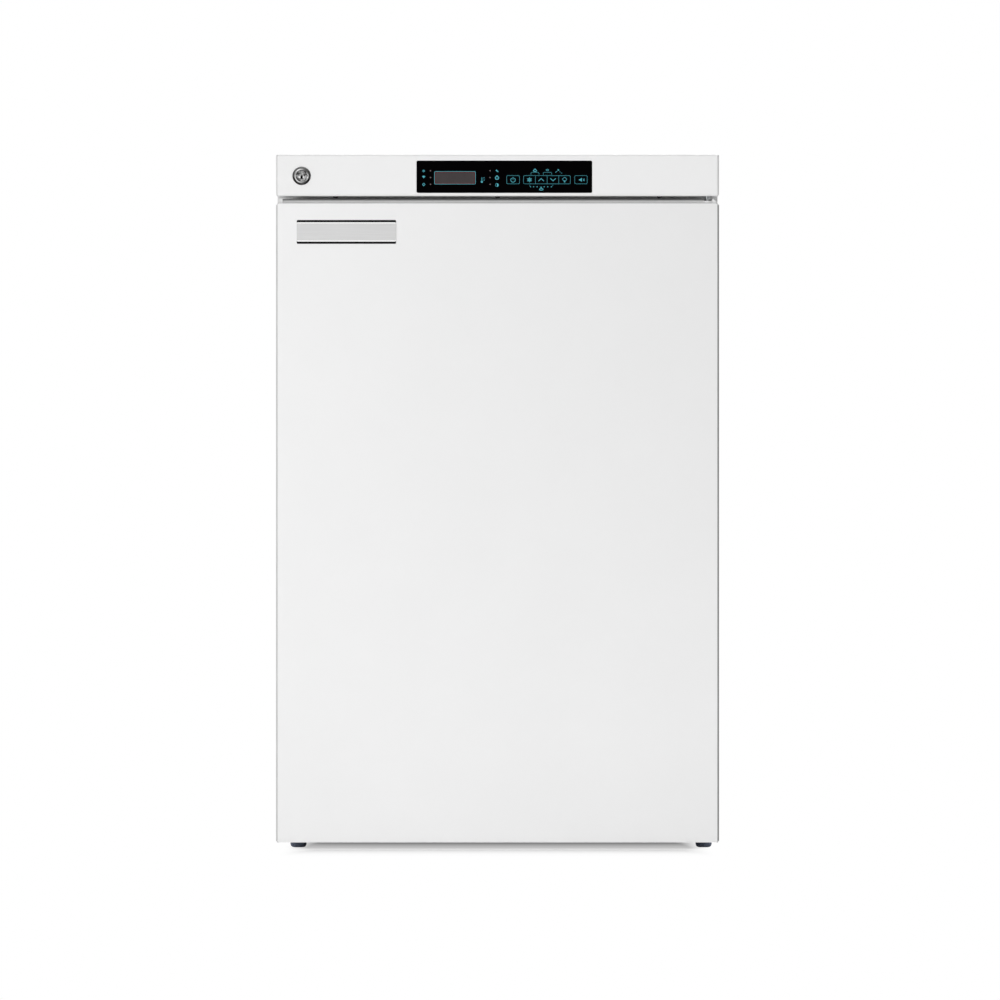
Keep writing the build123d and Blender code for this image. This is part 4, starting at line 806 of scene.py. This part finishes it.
# Circuit boards: glass-epoxy laminate with green solder mask, the control board behind the
# panel and the power board on its pillars. Tracks show as lines about 2 mm apart.
green_laminate, where = new_material("glass_epoxy_board")
tracks = add(green_laminate, "TexBrick", {"Scale": per_metre(8), "Mortar Size": 0.06}, {"Vector": where})
board_tone = add(
    green_laminate,
    "Mix",
    {"data_type": "RGBA", 6: srgb("#0f4a2a"), 7: srgb("#2c6b42")},
    {0: tracks.outputs["Fac"]},
)
surface = add(
    green_laminate,
    "BsdfPrincipled",
    {"Roughness": 0.35, "IOR": 1.55},
    {"Base Color": board_tone.outputs[2]},
)
finish_with(green_laminate, surface)
dress(green_laminate, "control_board", "power_board")

# Lock: zinc casting, machined and chromed, with the key plug turning in the flanged barrel.
# The plug is mottled dark and light, partly wear and partly painted reflection, and lighter either
# side of the keyway. The flange has a painted highlight on its shoulder on the left, and its sloped
# rim is painted nearly black as reflected shade, with painted light towards its top.
lock_low, lock_high = corners("lock_barrel")
lock_x = (lock_low.x + lock_high.x) / 2
lock_z = (lock_low.z + lock_high.z) / 2
keyway_drop = 1.5
chromed_zinc, where = new_material("chromed_zinc_casting")
from_lock = add(
    chromed_zinc, "VectorMath", {"operation": "SUBTRACT", 1: (lock_x / 1000, 0, lock_z / 1000)}, {0: where}
)
flat_lock = add(
    chromed_zinc, "VectorMath", {"operation": "MULTIPLY", 1: (1, 0, 1)}, {0: from_lock.outputs[0]}
)
lock_radius = add(chromed_zinc, "VectorMath", {"operation": "LENGTH"}, {0: flat_lock.outputs[0]})
lock_side = add(chromed_zinc, "SeparateXYZ", {}, {0: flat_lock.outputs[0]})
mottle = add(chromed_zinc, "TexNoise", {"Scale": per_metre(3.5), "Detail": 2.0}, {"Vector": where})
mottle_spread = add(
    chromed_zinc, "MapRange", {"From Min": 0.35, "From Max": 0.65}, {"Value": mottle.outputs["Fac"]}
)
# plug mottle: partly wear, partly painted reflection
plug_wear_and_reflection_tone = add(
    chromed_zinc,
    "Mix",
    {"data_type": "RGBA", 6: srgb("#474747"), 7: srgb("#c6c6c6")},
    {0: mottle_spread.outputs[0]},
)
# painted highlight on the flange's shoulder, on the left
shoulder = add(
    chromed_zinc,
    "MapRange",
    {"From Min": 0.0071, "From Max": 0.0075},
    {"Value": lock_radius.outputs["Value"]},
)
shoulder_highlight_side = add(
    chromed_zinc, "MapRange", {"From Min": 0.003, "From Max": -0.004}, {"Value": lock_side.outputs["X"]}
)
shoulder_highlight_tone = add(
    chromed_zinc,
    "Mix",
    {"data_type": "RGBA", 6: srgb("#5a5a5a"), 7: srgb("#d2d2d2")},
    {0: shoulder_highlight_side.outputs[0]},
)
face_tone = add(
    chromed_zinc,
    "Mix",
    {"data_type": "RGBA"},
    {0: shoulder.outputs[0], 6: plug_wear_and_reflection_tone.outputs[2], 7: shoulder_highlight_tone.outputs[2]},
)
# lighter either side of the keyway
from_keyway = add(
    chromed_zinc,
    "VectorMath",
    {"operation": "SUBTRACT", 1: (lock_x / 1000, 0, (lock_z - keyway_drop) / 1000)},
    {0: where},
)
keyway_sides = add(chromed_zinc, "VectorMath", {"operation": "ABSOLUTE"}, {0: from_keyway.outputs[0]})
keyway_flat = add(
    chromed_zinc, "VectorMath", {"operation": "MULTIPLY", 1: (1, 0, 1)}, {0: keyway_sides.outputs[0]}
)
keyway_side_distance = add(
    chromed_zinc, "VectorMath", {"operation": "DISTANCE", 1: (0.0024, 0, 0)}, {0: keyway_flat.outputs[0]}
)
keyway_side_share = add(
    chromed_zinc, "MapRange", {"From Min": 0.0016, "From Max": 0.0006}, {"Value": keyway_side_distance.outputs["Value"]}
)
keyway_side_tone = add(
    chromed_zinc,
    "Mix",
    {"data_type": "RGBA", 7: srgb("#eeeeee")},
    {0: keyway_side_share.outputs[0], 6: face_tone.outputs[2]},
)
# painted shade on the sloped rim, with painted light towards its top
rim_shade_noise = add(chromed_zinc, "TexNoise", {"Scale": per_metre(7)}, {"Vector": where})
rim_shade_spread = add(
    chromed_zinc, "MapRange", {"From Min": 0.38, "From Max": 0.62}, {"Value": rim_shade_noise.outputs["Fac"]}
)
rim_shade_tone = add(
    chromed_zinc,
    "Mix",
    {"data_type": "RGBA", 6: srgb("#0c0c0c"), 7: srgb("#4c4c4c")},
    {0: rim_shade_spread.outputs[0]},
)
lit_above = add(
    chromed_zinc,
    "MapRange",
    {"From Min": 0.003, "From Max": 0.011, "To Max": 0.7},
    {"Value": lock_side.outputs["Z"]},
)
rim_tone = add(
    chromed_zinc,
    "Mix",
    {"data_type": "RGBA", 7: srgb("#8a8a8a")},
    {0: lit_above.outputs[0], 6: rim_shade_tone.outputs[2]},
)
rim = add(
    chromed_zinc,
    "MapRange",
    {"From Min": 0.0083, "From Max": 0.0089},
    {"Value": lock_radius.outputs["Value"]},
)
chrome_tone = add(
    chromed_zinc,
    "Mix",
    {"data_type": "RGBA"},
    {0: rim.outputs[0], 6: keyway_side_tone.outputs[2], 7: rim_tone.outputs[2]},
)
chrome_rough = add(
    chromed_zinc, "MapRange", {"To Min": 0.14, "To Max": 0.3}, {"Value": mottle.outputs["Fac"]}
)
surface = add(
    chromed_zinc,
    "BsdfPrincipled",
    {"Metallic": 1.0},
    {"Base Color": chrome_tone.outputs[2], "Roughness": chrome_rough.outputs[0]},
)
finish_with(chromed_zinc, surface)

lock_spot = (lock_x, 0, lock_z)
plug_bore = 6.5
flange_radius = 11.15
barrel = bmesh.new()
turned(
    barrel,
    "y",
    lock_spot,
    [
        (plug_bore, lock_low.y + 0.9),
        (plug_bore + 0.6, lock_low.y + 0.4),
        (8.4, lock_low.y + 0.2),
        (8.9, lock_low.y),
        (9.4, lock_low.y + 0.1),
        (10.5, lock_low.y + 0.7),
        (flange_radius, lock_low.y + 1.6),
        (flange_radius, lock_low.y + 2.2),
        (9.5, lock_low.y + 2.2),
        (9.5, lock_high.y),
        (plug_bore, lock_high.y),
    ],
    closed=True,
)
piece("lock_flanged_barrel", barrel, [chromed_zinc], "cabinet", "lock_barrel")

# Key plug: the same chromed zinc, turned to fit the barrel. Its face is broken by the keyway,
# a slot painted black inside as its shade.
keyway_shade = grained(
    "keyway_painted_shade", 1, ("#020202", "#0a0909"), {"Roughness": 0.6, "Specular IOR Level": 0.02}
)
plug_low, plug_high = corners("lock_plug")
keyway_half = 1.35
keyway_low, keyway_high = -3.6, 0.6
keyway_depth = 6.0
plug = bmesh.new()
turned(
    plug,
    "y",
    lock_spot,
    [
        (0.0, plug_high.y),
        (4.0, plug_high.y),
        (4.0, lock_high.y),
        (plug_bore - 0.1, lock_high.y),
        (plug_bore - 0.1, plug_low.y + 0.4),
        (plug_bore - 0.5, plug_low.y),
    ],
)
keyway = skin_over(
    plug,
    [
        [
            (lock_x + x, y, lock_z + z)
            for x, z in (
                (-keyway_half, keyway_low + 0.4),
                (-keyway_half + 0.4, keyway_low),
                (keyway_half - 0.4, keyway_low),
                (keyway_half, keyway_low + 0.4),
                (keyway_half, keyway_high - 0.4),
                (keyway_half - 0.4, keyway_high),
                (-keyway_half + 0.4, keyway_high),
                (-keyway_half, keyway_high - 0.4),
            )
        ]
        for y in (plug_low.y, plug_low.y + keyway_depth)
    ],
    capped=False,
)
plug.faces.new(keyway[1])
# the keyway's faces take the painted shade
for vertex_ring in keyway:
    for face in {face for vertex in vertex_ring for face in vertex.link_faces}:
        face.material_index = 1
bmesh.ops.remove_doubles(plug, verts=plug.verts, dist=0.001)
bmesh.ops.bridge_loops(plug, edges=[edge for edge in plug.edges if edge.is_boundary])
piece("lock_key_plug", plug, [chromed_zinc, keyway_shade], "lock", "lock_plug")

# Front feet: hard rubber pads moulded round the stud's head. Rubber for floors is filled
# with carbon and goes blue-grey, with a matt skin that holds dust in specks of 1 mm.
foot_rubber = grained(
    "moulded_foot_rubber",
    1,
    ("#6a7285", "#848da4"),
    {"Roughness": 0.7, "IOR": 1.52},
    detail=4.0,
    bump=(0.3, 0.00005),
)
dress(foot_rubber, "compressor_mounts")
for side in ("left", "right"):
    pad_low, pad_high = corners(f"foot_pad_{side}")
    pad_radius = (pad_high.x - pad_low.x) / 2
    pad = bmesh.new()
    turned(
        pad,
        "z",
        (pad_low.x + pad_radius, (pad_low.y + pad_high.y) / 2, 0),
        [
            (0.0, 0.0),
            (5.6, 0.0),
            (7.4, 0.4),
            (8.7, 1.3),
            (9.5, 2.7),
            (pad_radius, 4.6),
            (pad_radius, pad_high.z - 0.8),
            (pad_radius - 0.8, pad_high.z),
            (0.0, pad_high.z),
        ],
    )
    piece(f"foot_rubber_{side}", pad, [foot_rubber], f"foot_{side}", f"foot_pad_{side}", crease=50)

# Access port: a nylon sleeve through the wall for a probe's lead, with a turned flange behind,
# closed by a soft stopper with a finger hollow in its head.
sleeve_low, sleeve_high = corners("port_sleeve")
port_spot = ((sleeve_low.x + sleeve_high.x) / 2, 0, (sleeve_low.z + sleeve_high.z) / 2)
sleeve = bmesh.new()
turned(
    sleeve,
    "y",
    port_spot,
    [
        (13.0, sleeve_high.y),
        (20.0, sleeve_high.y),
        (21.0, sleeve_high.y - 0.7),
        (21.0, sleeve_high.y - 2.0),
        (15.5, sleeve_high.y - 2.0),
        (15.5, sleeve_low.y),
        (13.0, sleeve_low.y),
    ],
    closed=True,
)
piece("port_flanged_sleeve", sleeve, [white_nylon], "cabinet", "port_sleeve")
stopper_low, stopper_high = corners("port_stopper")
stopper = bmesh.new()
turned(
    stopper,
    "y",
    port_spot,
    [
        (0.0, stopper_low.y),
        (11.6, stopper_low.y),
        (12.8, stopper_low.y + 2.0),
        (12.8, sleeve_high.y),
        (17.0, sleeve_high.y),
        (17.0, stopper_high.y - 1.8),
        (16.0, stopper_high.y - 0.4),
        (15.0, stopper_high.y),
        (9.0, stopper_high.y),
        (6.5, stopper_high.y - 1.2),
        (0.0, stopper_high.y - 2.2),
    ],
)
piece("port_soft_stopper", stopper, [soft_pvc], "cabinet", "port_stopper", crease=40)

# Black mouldings behind: rollers, condenser clips, wall spacers, relay box and mains inlet
# are glass-filled nylon or polypropylene, dull black with a coarse mould grain of 1.2 mm.
black_polypropylene = grained(
    "black_polypropylene",
    1.2,
    ("#17181a", "#232427"),
    {"Roughness": 0.55, "IOR": 1.49},
    detail=3.0,
    bump=(0.35, 0.00006),
)
dress(
    black_polypropylene,
    "condenser_clips",
    "wall_spacers",
    "relay_box",
    "power_inlet",
)

# Rear rollers: wheels moulded in the same black plastic, with a rounded tread and a hollow
# between hub and rim. They run on the axles of the rear brackets.
for side in ("left", "right"):
    wheel_low, wheel_high = corners(f"roller_{side}")
    wheel_radius = (wheel_high.z - wheel_low.z) / 2
    wheel = bmesh.new()
    half_profile = [(2.7, 0.0), (6.5, 0.0), (7.2, 2.5), (13.0, 2.5), (13.8, 0.0), (wheel_radius - 1.5, 0.0)]
    near = [(radius, wheel_low.x + inset) for radius, inset in half_profile]
    near.append((wheel_radius, wheel_low.x + 1.5))
    far = [(radius, wheel_low.x + wheel_high.x - along) for radius, along in reversed(near)]
    wheel_spot = (0, (wheel_low.y + wheel_high.y) / 2, wheel_radius)
    turned(wheel, "x", wheel_spot, near + far, closed=True)
    piece(f"rear_wheel_{side}", wheel, [black_polypropylene], f"roller_{side}", f"roller_{side}")

# Compressor and condenser: steel dipped or sprayed with black enamel. It is thick and
# glossy, with sags of about 8 mm and dust lying on what faces up.
black_enamel, where = new_material("black_stoving_enamel")
sag = add(black_enamel, "TexNoise", {"Scale": per_metre(8), "Detail": 2.0}, {"Vector": where})
facing = add(black_enamel, "NewGeometry", {})
up = add(black_enamel, "SeparateXYZ", {}, {0: facing.outputs["Normal"]})
lying = add(black_enamel, "MapRange", {"From Min": 0.4, "To Max": 0.5}, {"Value": up.outputs["Z"]})
enamel_tone = add(
    black_enamel,
    "Mix",
    {"data_type": "RGBA", 6: srgb("#101113"), 7: srgb("#3a3936")},
    {0: lying.outputs[0]},
)
sag_bump = add(black_enamel, "Bump", {"Strength": 0.3, "Distance": 0.0002}, {"Height": sag.outputs["Fac"]})
surface = add(
    black_enamel,
    "BsdfPrincipled",
    {"Roughness": 0.3, "IOR": 1.5},
    {"Base Color": enamel_tone.outputs[2], "Normal": sag_bump.outputs[0]},
)
finish_with(black_enamel, surface)

# Compressor: two drawn steel cups welded at a lip, on a base plate with rubber mounts. The
# domed ends keep the pressure, and two stubs on top take the pipes.
compressor_low, compressor_high = corners("compressor")
shell_x = (compressor_low.x + compressor_high.x) / 2
shell_y = (compressor_low.y + compressor_high.y) / 2
lip_radius = (compressor_high.y - compressor_low.y) / 2
shell_radius = lip_radius - 3.0
discharge_x = shell_x - 30.0
suction_x = 84.0
stub_height = 12.0
dome = 28.0
cup_low = compressor_low.z + 1.0
cup_high = compressor_high.z - stub_height
lip_z = (cup_low + cup_high) / 2
dome_turns = [math.pi / 2 * step / 6 for step in range(7)]
cups = bmesh.new()
turned(
    cups,
    "z",
    (shell_x, shell_y, 0),
    [(0.0, cup_low)]
    + [(shell_radius - dome + dome * math.sin(a), cup_low + dome - dome * math.cos(a)) for a in dome_turns]
    + [(shell_radius, lip_z), (lip_radius, lip_z), (lip_radius, lip_z + 4.0), (shell_radius, lip_z + 4.0)]
    + [(shell_radius - dome + dome * math.cos(a), cup_high - dome + dome * math.sin(a)) for a in dome_turns]
    + [(0.0, cup_high)],
)
for stub_x in (discharge_x, suction_x):
    turned(
        cups,
        "z",
        (stub_x, shell_y, 0),
        [(0.0, cup_high - 1.0), (5.0, cup_high - 1.0), (5.0, compressor_high.z), (0.0, compressor_high.z)],
        steps=20,
    )
plate_corner = 12.0
plate_round = 2 * plate_corner
plate_half = 64.0
plate_outline = []
for x, y, turn in (
    (compressor_high.x, shell_y + plate_half, 0),
    (compressor_low.x, shell_y + plate_half, 90),
    (compressor_low.x, shell_y - plate_half, 180),
    (compressor_high.x, shell_y - plate_half, 270),
):
    inward_x = x - plate_corner if x > shell_x else x + plate_corner
    inward_y = y - plate_corner if y > shell_y else y + plate_corner
    plate_outline += around(inward_x, inward_y, plate_round, plate_round, count=5, turn=turn, arc=90)
skin_over(cups, [[(x, y, compressor_low.z + rise) for x, y in plate_outline] for rise in (0.0, 3.0)])
piece("compressor_cups", cups, [black_enamel], "cabinet", "compressor")


# Condenser: one steel tube bent to and fro, with upright wires spot-welded across it to shed
# the heat. It stands off the back panel in four clips.
def tubes(name, runs, material, body, *nodes):
    """Round tubes as one curve: pairs of a path and a radius, in millimetres."""
    curve = bpy.data.curves.new(name, "CURVE")
    curve.dimensions = "3D"
    curve.bevel_depth = 0.001
    curve.bevel_resolution = 4
    curve.use_fill_caps = True
    for path, radius in runs:
        spline = curve.splines.new("POLY")
        spline.points.add(len(path) - 1)
        for spot, place in zip(spline.points, path):
            spot.co = (*(Vector(place) / 1000), 1.0)
            spot.radius = radius
    curve.materials.append(material)
    made = bpy.data.objects.new(name, curve)
    bpy.context.scene.collection.objects.link(made)
    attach(made, body)
    if nodes:
        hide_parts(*nodes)


condenser_low, condenser_high = corners("condenser")
coil_radius = 3.0
wire_radius = 1.0
wire_over = 7.0
coil_runs = 7
coil_y = 253.0
coil_low = condenser_low.z + wire_over
coil_pitch = (condenser_high.z - condenser_low.z - 2 * wire_over) / (coil_runs - 1)
turn_radius = coil_pitch / 2
turn_steps = 14
run_half = condenser_high.x - turn_radius - coil_radius
coil_path = []
for run in range(coil_runs):
    z = coil_low + run * coil_pitch
    way = 1 if run % 2 == 0 else -1
    coil_path += [(-way * run_half, coil_y, z), (way * run_half, coil_y, z)]
    if run < coil_runs - 1:
        turn_z = z + turn_radius
        coil_path += [
            (way * (run_half + turn_radius * math.sin(a)), coil_y, turn_z - turn_radius * math.cos(a))
            for a in [math.pi * step / turn_steps for step in range(1, turn_steps)]
        ]
wire_count = 14
wire_half = run_half - 9.0
wire_runs = []
for wire in range(wire_count):
    wire_x = -wire_half + 2 * wire_half * wire / (wire_count - 1)
    wire_y = condenser_high.y - wire_radius
    wire_runs.append(([(wire_x, wire_y, condenser_low.z), (wire_x, wire_y, condenser_high.z)], wire_radius))
tubes("condenser_coil", [(coil_path, coil_radius)] + wire_runs, black_enamel, "cabinet", "condenser")

# Refrigerant pipes: soft copper, bent by hand and brazed, so it is bright on the runs and
# brown and purple in patches of about 30 mm near the joints.
soft_copper = grained(
    "soft_copper_tube", 30, ("#c98058", "#8a4f38"), {"Metallic": 1.0}, detail=4.0, rough=(0.22, 0.45)
)


def bent(points, bend):
    """The points of a path with every corner turned by an even bend, in millimetres."""
    points = [Vector(point) for point in points]
    path = [points[0]]
    for before, here, after in zip(points, points[1:], points[2:]):
        start = here + (before - here).normalized() * bend
        stop = here + (after - here).normalized() * bend
        for step in range(7):
            share = step / 6
            path.append(start * (1 - share) ** 2 + here * 2 * share * (1 - share) + stop * share**2)
    return path + [points[-1]]


pipe_bend = 14.0
pipe_exit_z = 209.0
riser_x = 228.0
suction_y = 242.0
inlet_y, inlet_z = 228.0, 244.0
discharge_run = [
    (discharge_x, shell_y, compressor_high.z),
    (discharge_x, shell_y, pipe_exit_z),
    (discharge_x, coil_y, pipe_exit_z),
    (riser_x, coil_y, pipe_exit_z),
    (riser_x, coil_y, condenser_high.z - wire_over),
    (run_half + 0.2, coil_y, condenser_high.z - wire_over),
]
tubes("discharge_tube", [(bent(discharge_run, pipe_bend), 3.0)], soft_copper, "cabinet", "discharge_pipe")
suction_run = [
    (suction_x, shell_y, compressor_high.z),
    (suction_x, shell_y, pipe_exit_z),
    (suction_x, suction_y, pipe_exit_z),
    (suction_x, suction_y, inlet_z),
    (suction_x, inlet_y, inlet_z),
]
tubes("suction_tube", [(bent(suction_run, 12.0), 4.0)], soft_copper, "cabinet", "suction_pipe")

# Filter drier: copper tube spun down at both ends over its charge of beads, with the thin
# capillary brazed in and led through the back.
drier_low, drier_high = corners("filter_drier")
drier_left = -238.2
drier_radius = 9.0
drier = bmesh.new()
turned(
    drier,
    "x",
    (0, coil_y, coil_low),
    [
        (0.0, drier_left),
        (2.6, drier_left),
        (2.8, drier_left + 2.0),
        (5.5, drier_left + 4.5),
        (8.2, drier_left + 7.5),
        (drier_radius, drier_left + 11.0),
        (drier_radius, drier_high.x - 11.0),
        (8.2, drier_high.x - 7.5),
        (5.5, drier_high.x - 4.5),
        (3.2, drier_high.x - 2.0),
        (3.0, drier_high.x),
        (0.0, drier_high.x),
    ],
    steps=32,
)
piece("drier_shell", drier, [soft_copper], "cabinet", "filter_drier", crease=50)
capillary_x = drier_low.x + 1.6
capillary_run = [
    (drier_left + 1.0, coil_y, coil_low),
    (capillary_x, coil_y, coil_low),
    (capillary_x, drier_low.y, coil_low),
]
tubes("capillary_tube", [(bent(capillary_run, 8.0), 1.5)], soft_copper, "cabinet")

# Room: a plain white floor that runs on behind. The cabinet's soft shadow lies on it for
# about a hand's width, with its depth painted in by the floor's glow, and further off it is as white as the
# wall.
floor_mesh = bpy.data.meshes.new("studio_floor")
reach = 60.0
floor_mesh.from_pydata(
    [(-reach, -reach, 0), (reach, -reach, 0), (reach, reach, 0), (-reach, reach, 0)], [], [(0, 1, 2, 3)]
)
floor = bpy.data.objects.new("studio_floor", floor_mesh)
bpy.context.scene.collection.objects.link(floor)
white_floor, where = new_material("matt_white_floor")
floor_cloud = add(white_floor, "TexNoise", {"Scale": per_metre(400), "Detail": 2.0}, {"Vector": where})
floor_tone = add(
    white_floor,
    "Mix",
    {"data_type": "RGBA", 6: srgb("#f6f6f6"), 7: srgb("#f3f3f3")},
    {0: floor_cloud.outputs["Fac"]},
)
floor_skin = add(white_floor, "BsdfDiffuse", {}, {"Color": floor_tone.outputs[2]})
# The camera alone sees the floor as lit from within: all of it beside and behind the cabinet,
# and by the ramp below in front, which paints the depth of the shadow there.
floor_light = add(white_floor, "Emission", {"Strength": 1.0})
floor_place = add(white_floor, "SeparateXYZ", {}, {0: where})
across = add(white_floor, "Math", {"operation": "ABSOLUTE"}, {0: floor_place.outputs["X"]})
shade_way = add(
    white_floor, "MapRange", {"From Min": 0.12, "From Max": -0.68}, {"Value": floor_place.outputs["Y"]}
)
shade_depth = add(white_floor, "ValToRGB", {}, {0: shade_way.outputs[0]})
stops = (  # share of the way to the front, and how white the floor looks there
    (0.0, 0.12),
    (0.09, 0.2),
    (0.31, 0.46),
    (0.47, 0.55),
    (0.54, 0.3),
    (0.6, 0.12),
    (0.7, 0.5),
    (0.82, 0.85),
    (1.0, 1.0),
)
while len(shade_depth.color_ramp.elements) < len(stops):
    shade_depth.color_ramp.elements.new(0.5)
for stop, (along, white) in zip(shade_depth.color_ramp.elements, stops):
    stop.position = along
    stop.color = (white, white, white, 1.0)
beside = add(
    white_floor,
    "MapRange",
    {"interpolation_type": "SMOOTHSTEP", "From Min": 0.205, "From Max": 0.262},
    {"Value": across.outputs[0]},
)
behind = add(
    white_floor,
    "MapRange",
    {"interpolation_type": "SMOOTHSTEP", "From Min": 0.25, "From Max": 0.65},
    {"Value": floor_place.outputs["Y"]},
)
off_sides = add(white_floor, "Math", {"operation": "MAXIMUM"}, {0: beside.outputs[0], 1: behind.outputs[0]})
faded = add(
    white_floor, "Math", {"operation": "MAXIMUM"}, {0: off_sides.outputs[0], 1: shade_depth.outputs[0]}
)
floor_rays = add(white_floor, "LightPath", {})
floor_seen = add(
    white_floor,
    "Math",
    {"operation": "MULTIPLY"},
    {0: floor_rays.outputs["Is Camera Ray"], 1: faded.outputs[0]},
)
floor_mix = add(
    white_floor,
    "MixShader",
    {},
    {0: floor_seen.outputs[0], 1: floor_skin.outputs[0], 2: floor_light.outputs[0]},
)
floor_mesh.materials.append(finish_with(white_floor, floor_mix))

# White walls: the camera, glass and polished faces see them fully white. The light they throw
# on everything else is weaker, and weaker on the right than on the left.
world = bpy.data.worlds.new("white_room")
bpy.context.scene.world = world
world.use_nodes = True
world.node_tree.nodes.clear()
rays = add(world, "LightPath", {})
seen = add(
    world,
    "Math",
    {"operation": "MAXIMUM"},
    {0: rays.outputs["Is Camera Ray"], 1: rays.outputs["Is Transmission Ray"]},
)
seen_too = add(
    world, "Math", {"operation": "MAXIMUM"}, {0: seen.outputs[0], 1: rays.outputs["Is Glossy Ray"]}
)
room_way = add(world, "TexCoord", {})
room_side = add(world, "SeparateXYZ", {}, {0: room_way.outputs["Generated"]})
room_level = add(
    world,
    "MapRange",
    {"From Min": -1.0, "From Max": 1.0, "To Min": 0.68, "To Max": 0.43},
    {"Value": room_side.outputs["X"]},
)
dim_room = add(world, "Background", {"Color": srgb("#ffffff")}, {"Strength": room_level.outputs[0]})
white_room = add(world, "Background", {"Color": srgb("#ffffff"), "Strength": 1.0})
room = add(
    world, "MixShader", {}, {0: seen_too.outputs[0], 1: dim_room.outputs[0], 2: white_room.outputs[0]}
)
add(world, "OutputWorld", {}, {"Surface": room.outputs[0]})


# Softboxes: a large one ahead on the left, a low strip in front, and one above and behind.
# They are rectangular lamps, so that their shadows are soft.
def softbox(name, place, aim, wide, high, power):
    """Rectangular area lamp aimed at a point."""
    lamp = bpy.data.lights.new(name, "AREA")
    lamp.shape = "RECTANGLE"
    lamp.size = wide
    lamp.size_y = high
    lamp.energy = power
    made = bpy.data.objects.new(name, lamp)
    made.location = place
    made.rotation_euler = (Vector(aim) - Vector(place)).to_track_quat("-Z", "Y").to_euler()
    bpy.context.scene.collection.objects.link(made)


softbox("key_softbox", (-2.6, -4.6, 1.3), (0, 0, 0.45), 2.4, 2.4, 78)
softbox("low_softbox", (0.1, -1.5, 0.14), (0, -0.28, 0.45), 1.4, 0.22, 2.0)
softbox("back_softbox", (0.8, 3.2, 2.6), (0, 0, 0.5), 2.4, 2.4, 32)

# Camera: far off and level with the cabinet's middle, through a long lens, so that neither
# the top nor the sides show.
frame_width = 1.219
camera_distance = 20.0
camera_side = 0.003
camera_height = 0.4251
front = cad_low.y
camera_data = bpy.data.cameras.new("photo_camera")
camera_data.sensor_width = 36.0
camera_data.lens = 36.0 * camera_distance / frame_width
camera_data.clip_end = 200.0
camera = bpy.data.objects.new("photo_camera", camera_data)
camera.location = (camera_side, front - camera_distance, camera_height)
camera.rotation_euler = (math.radians(90), 0, 0)
bpy.context.scene.collection.objects.link(camera)
bpy.context.scene.camera = camera
bpy.context.scene.view_settings.view_transform = "Standard"
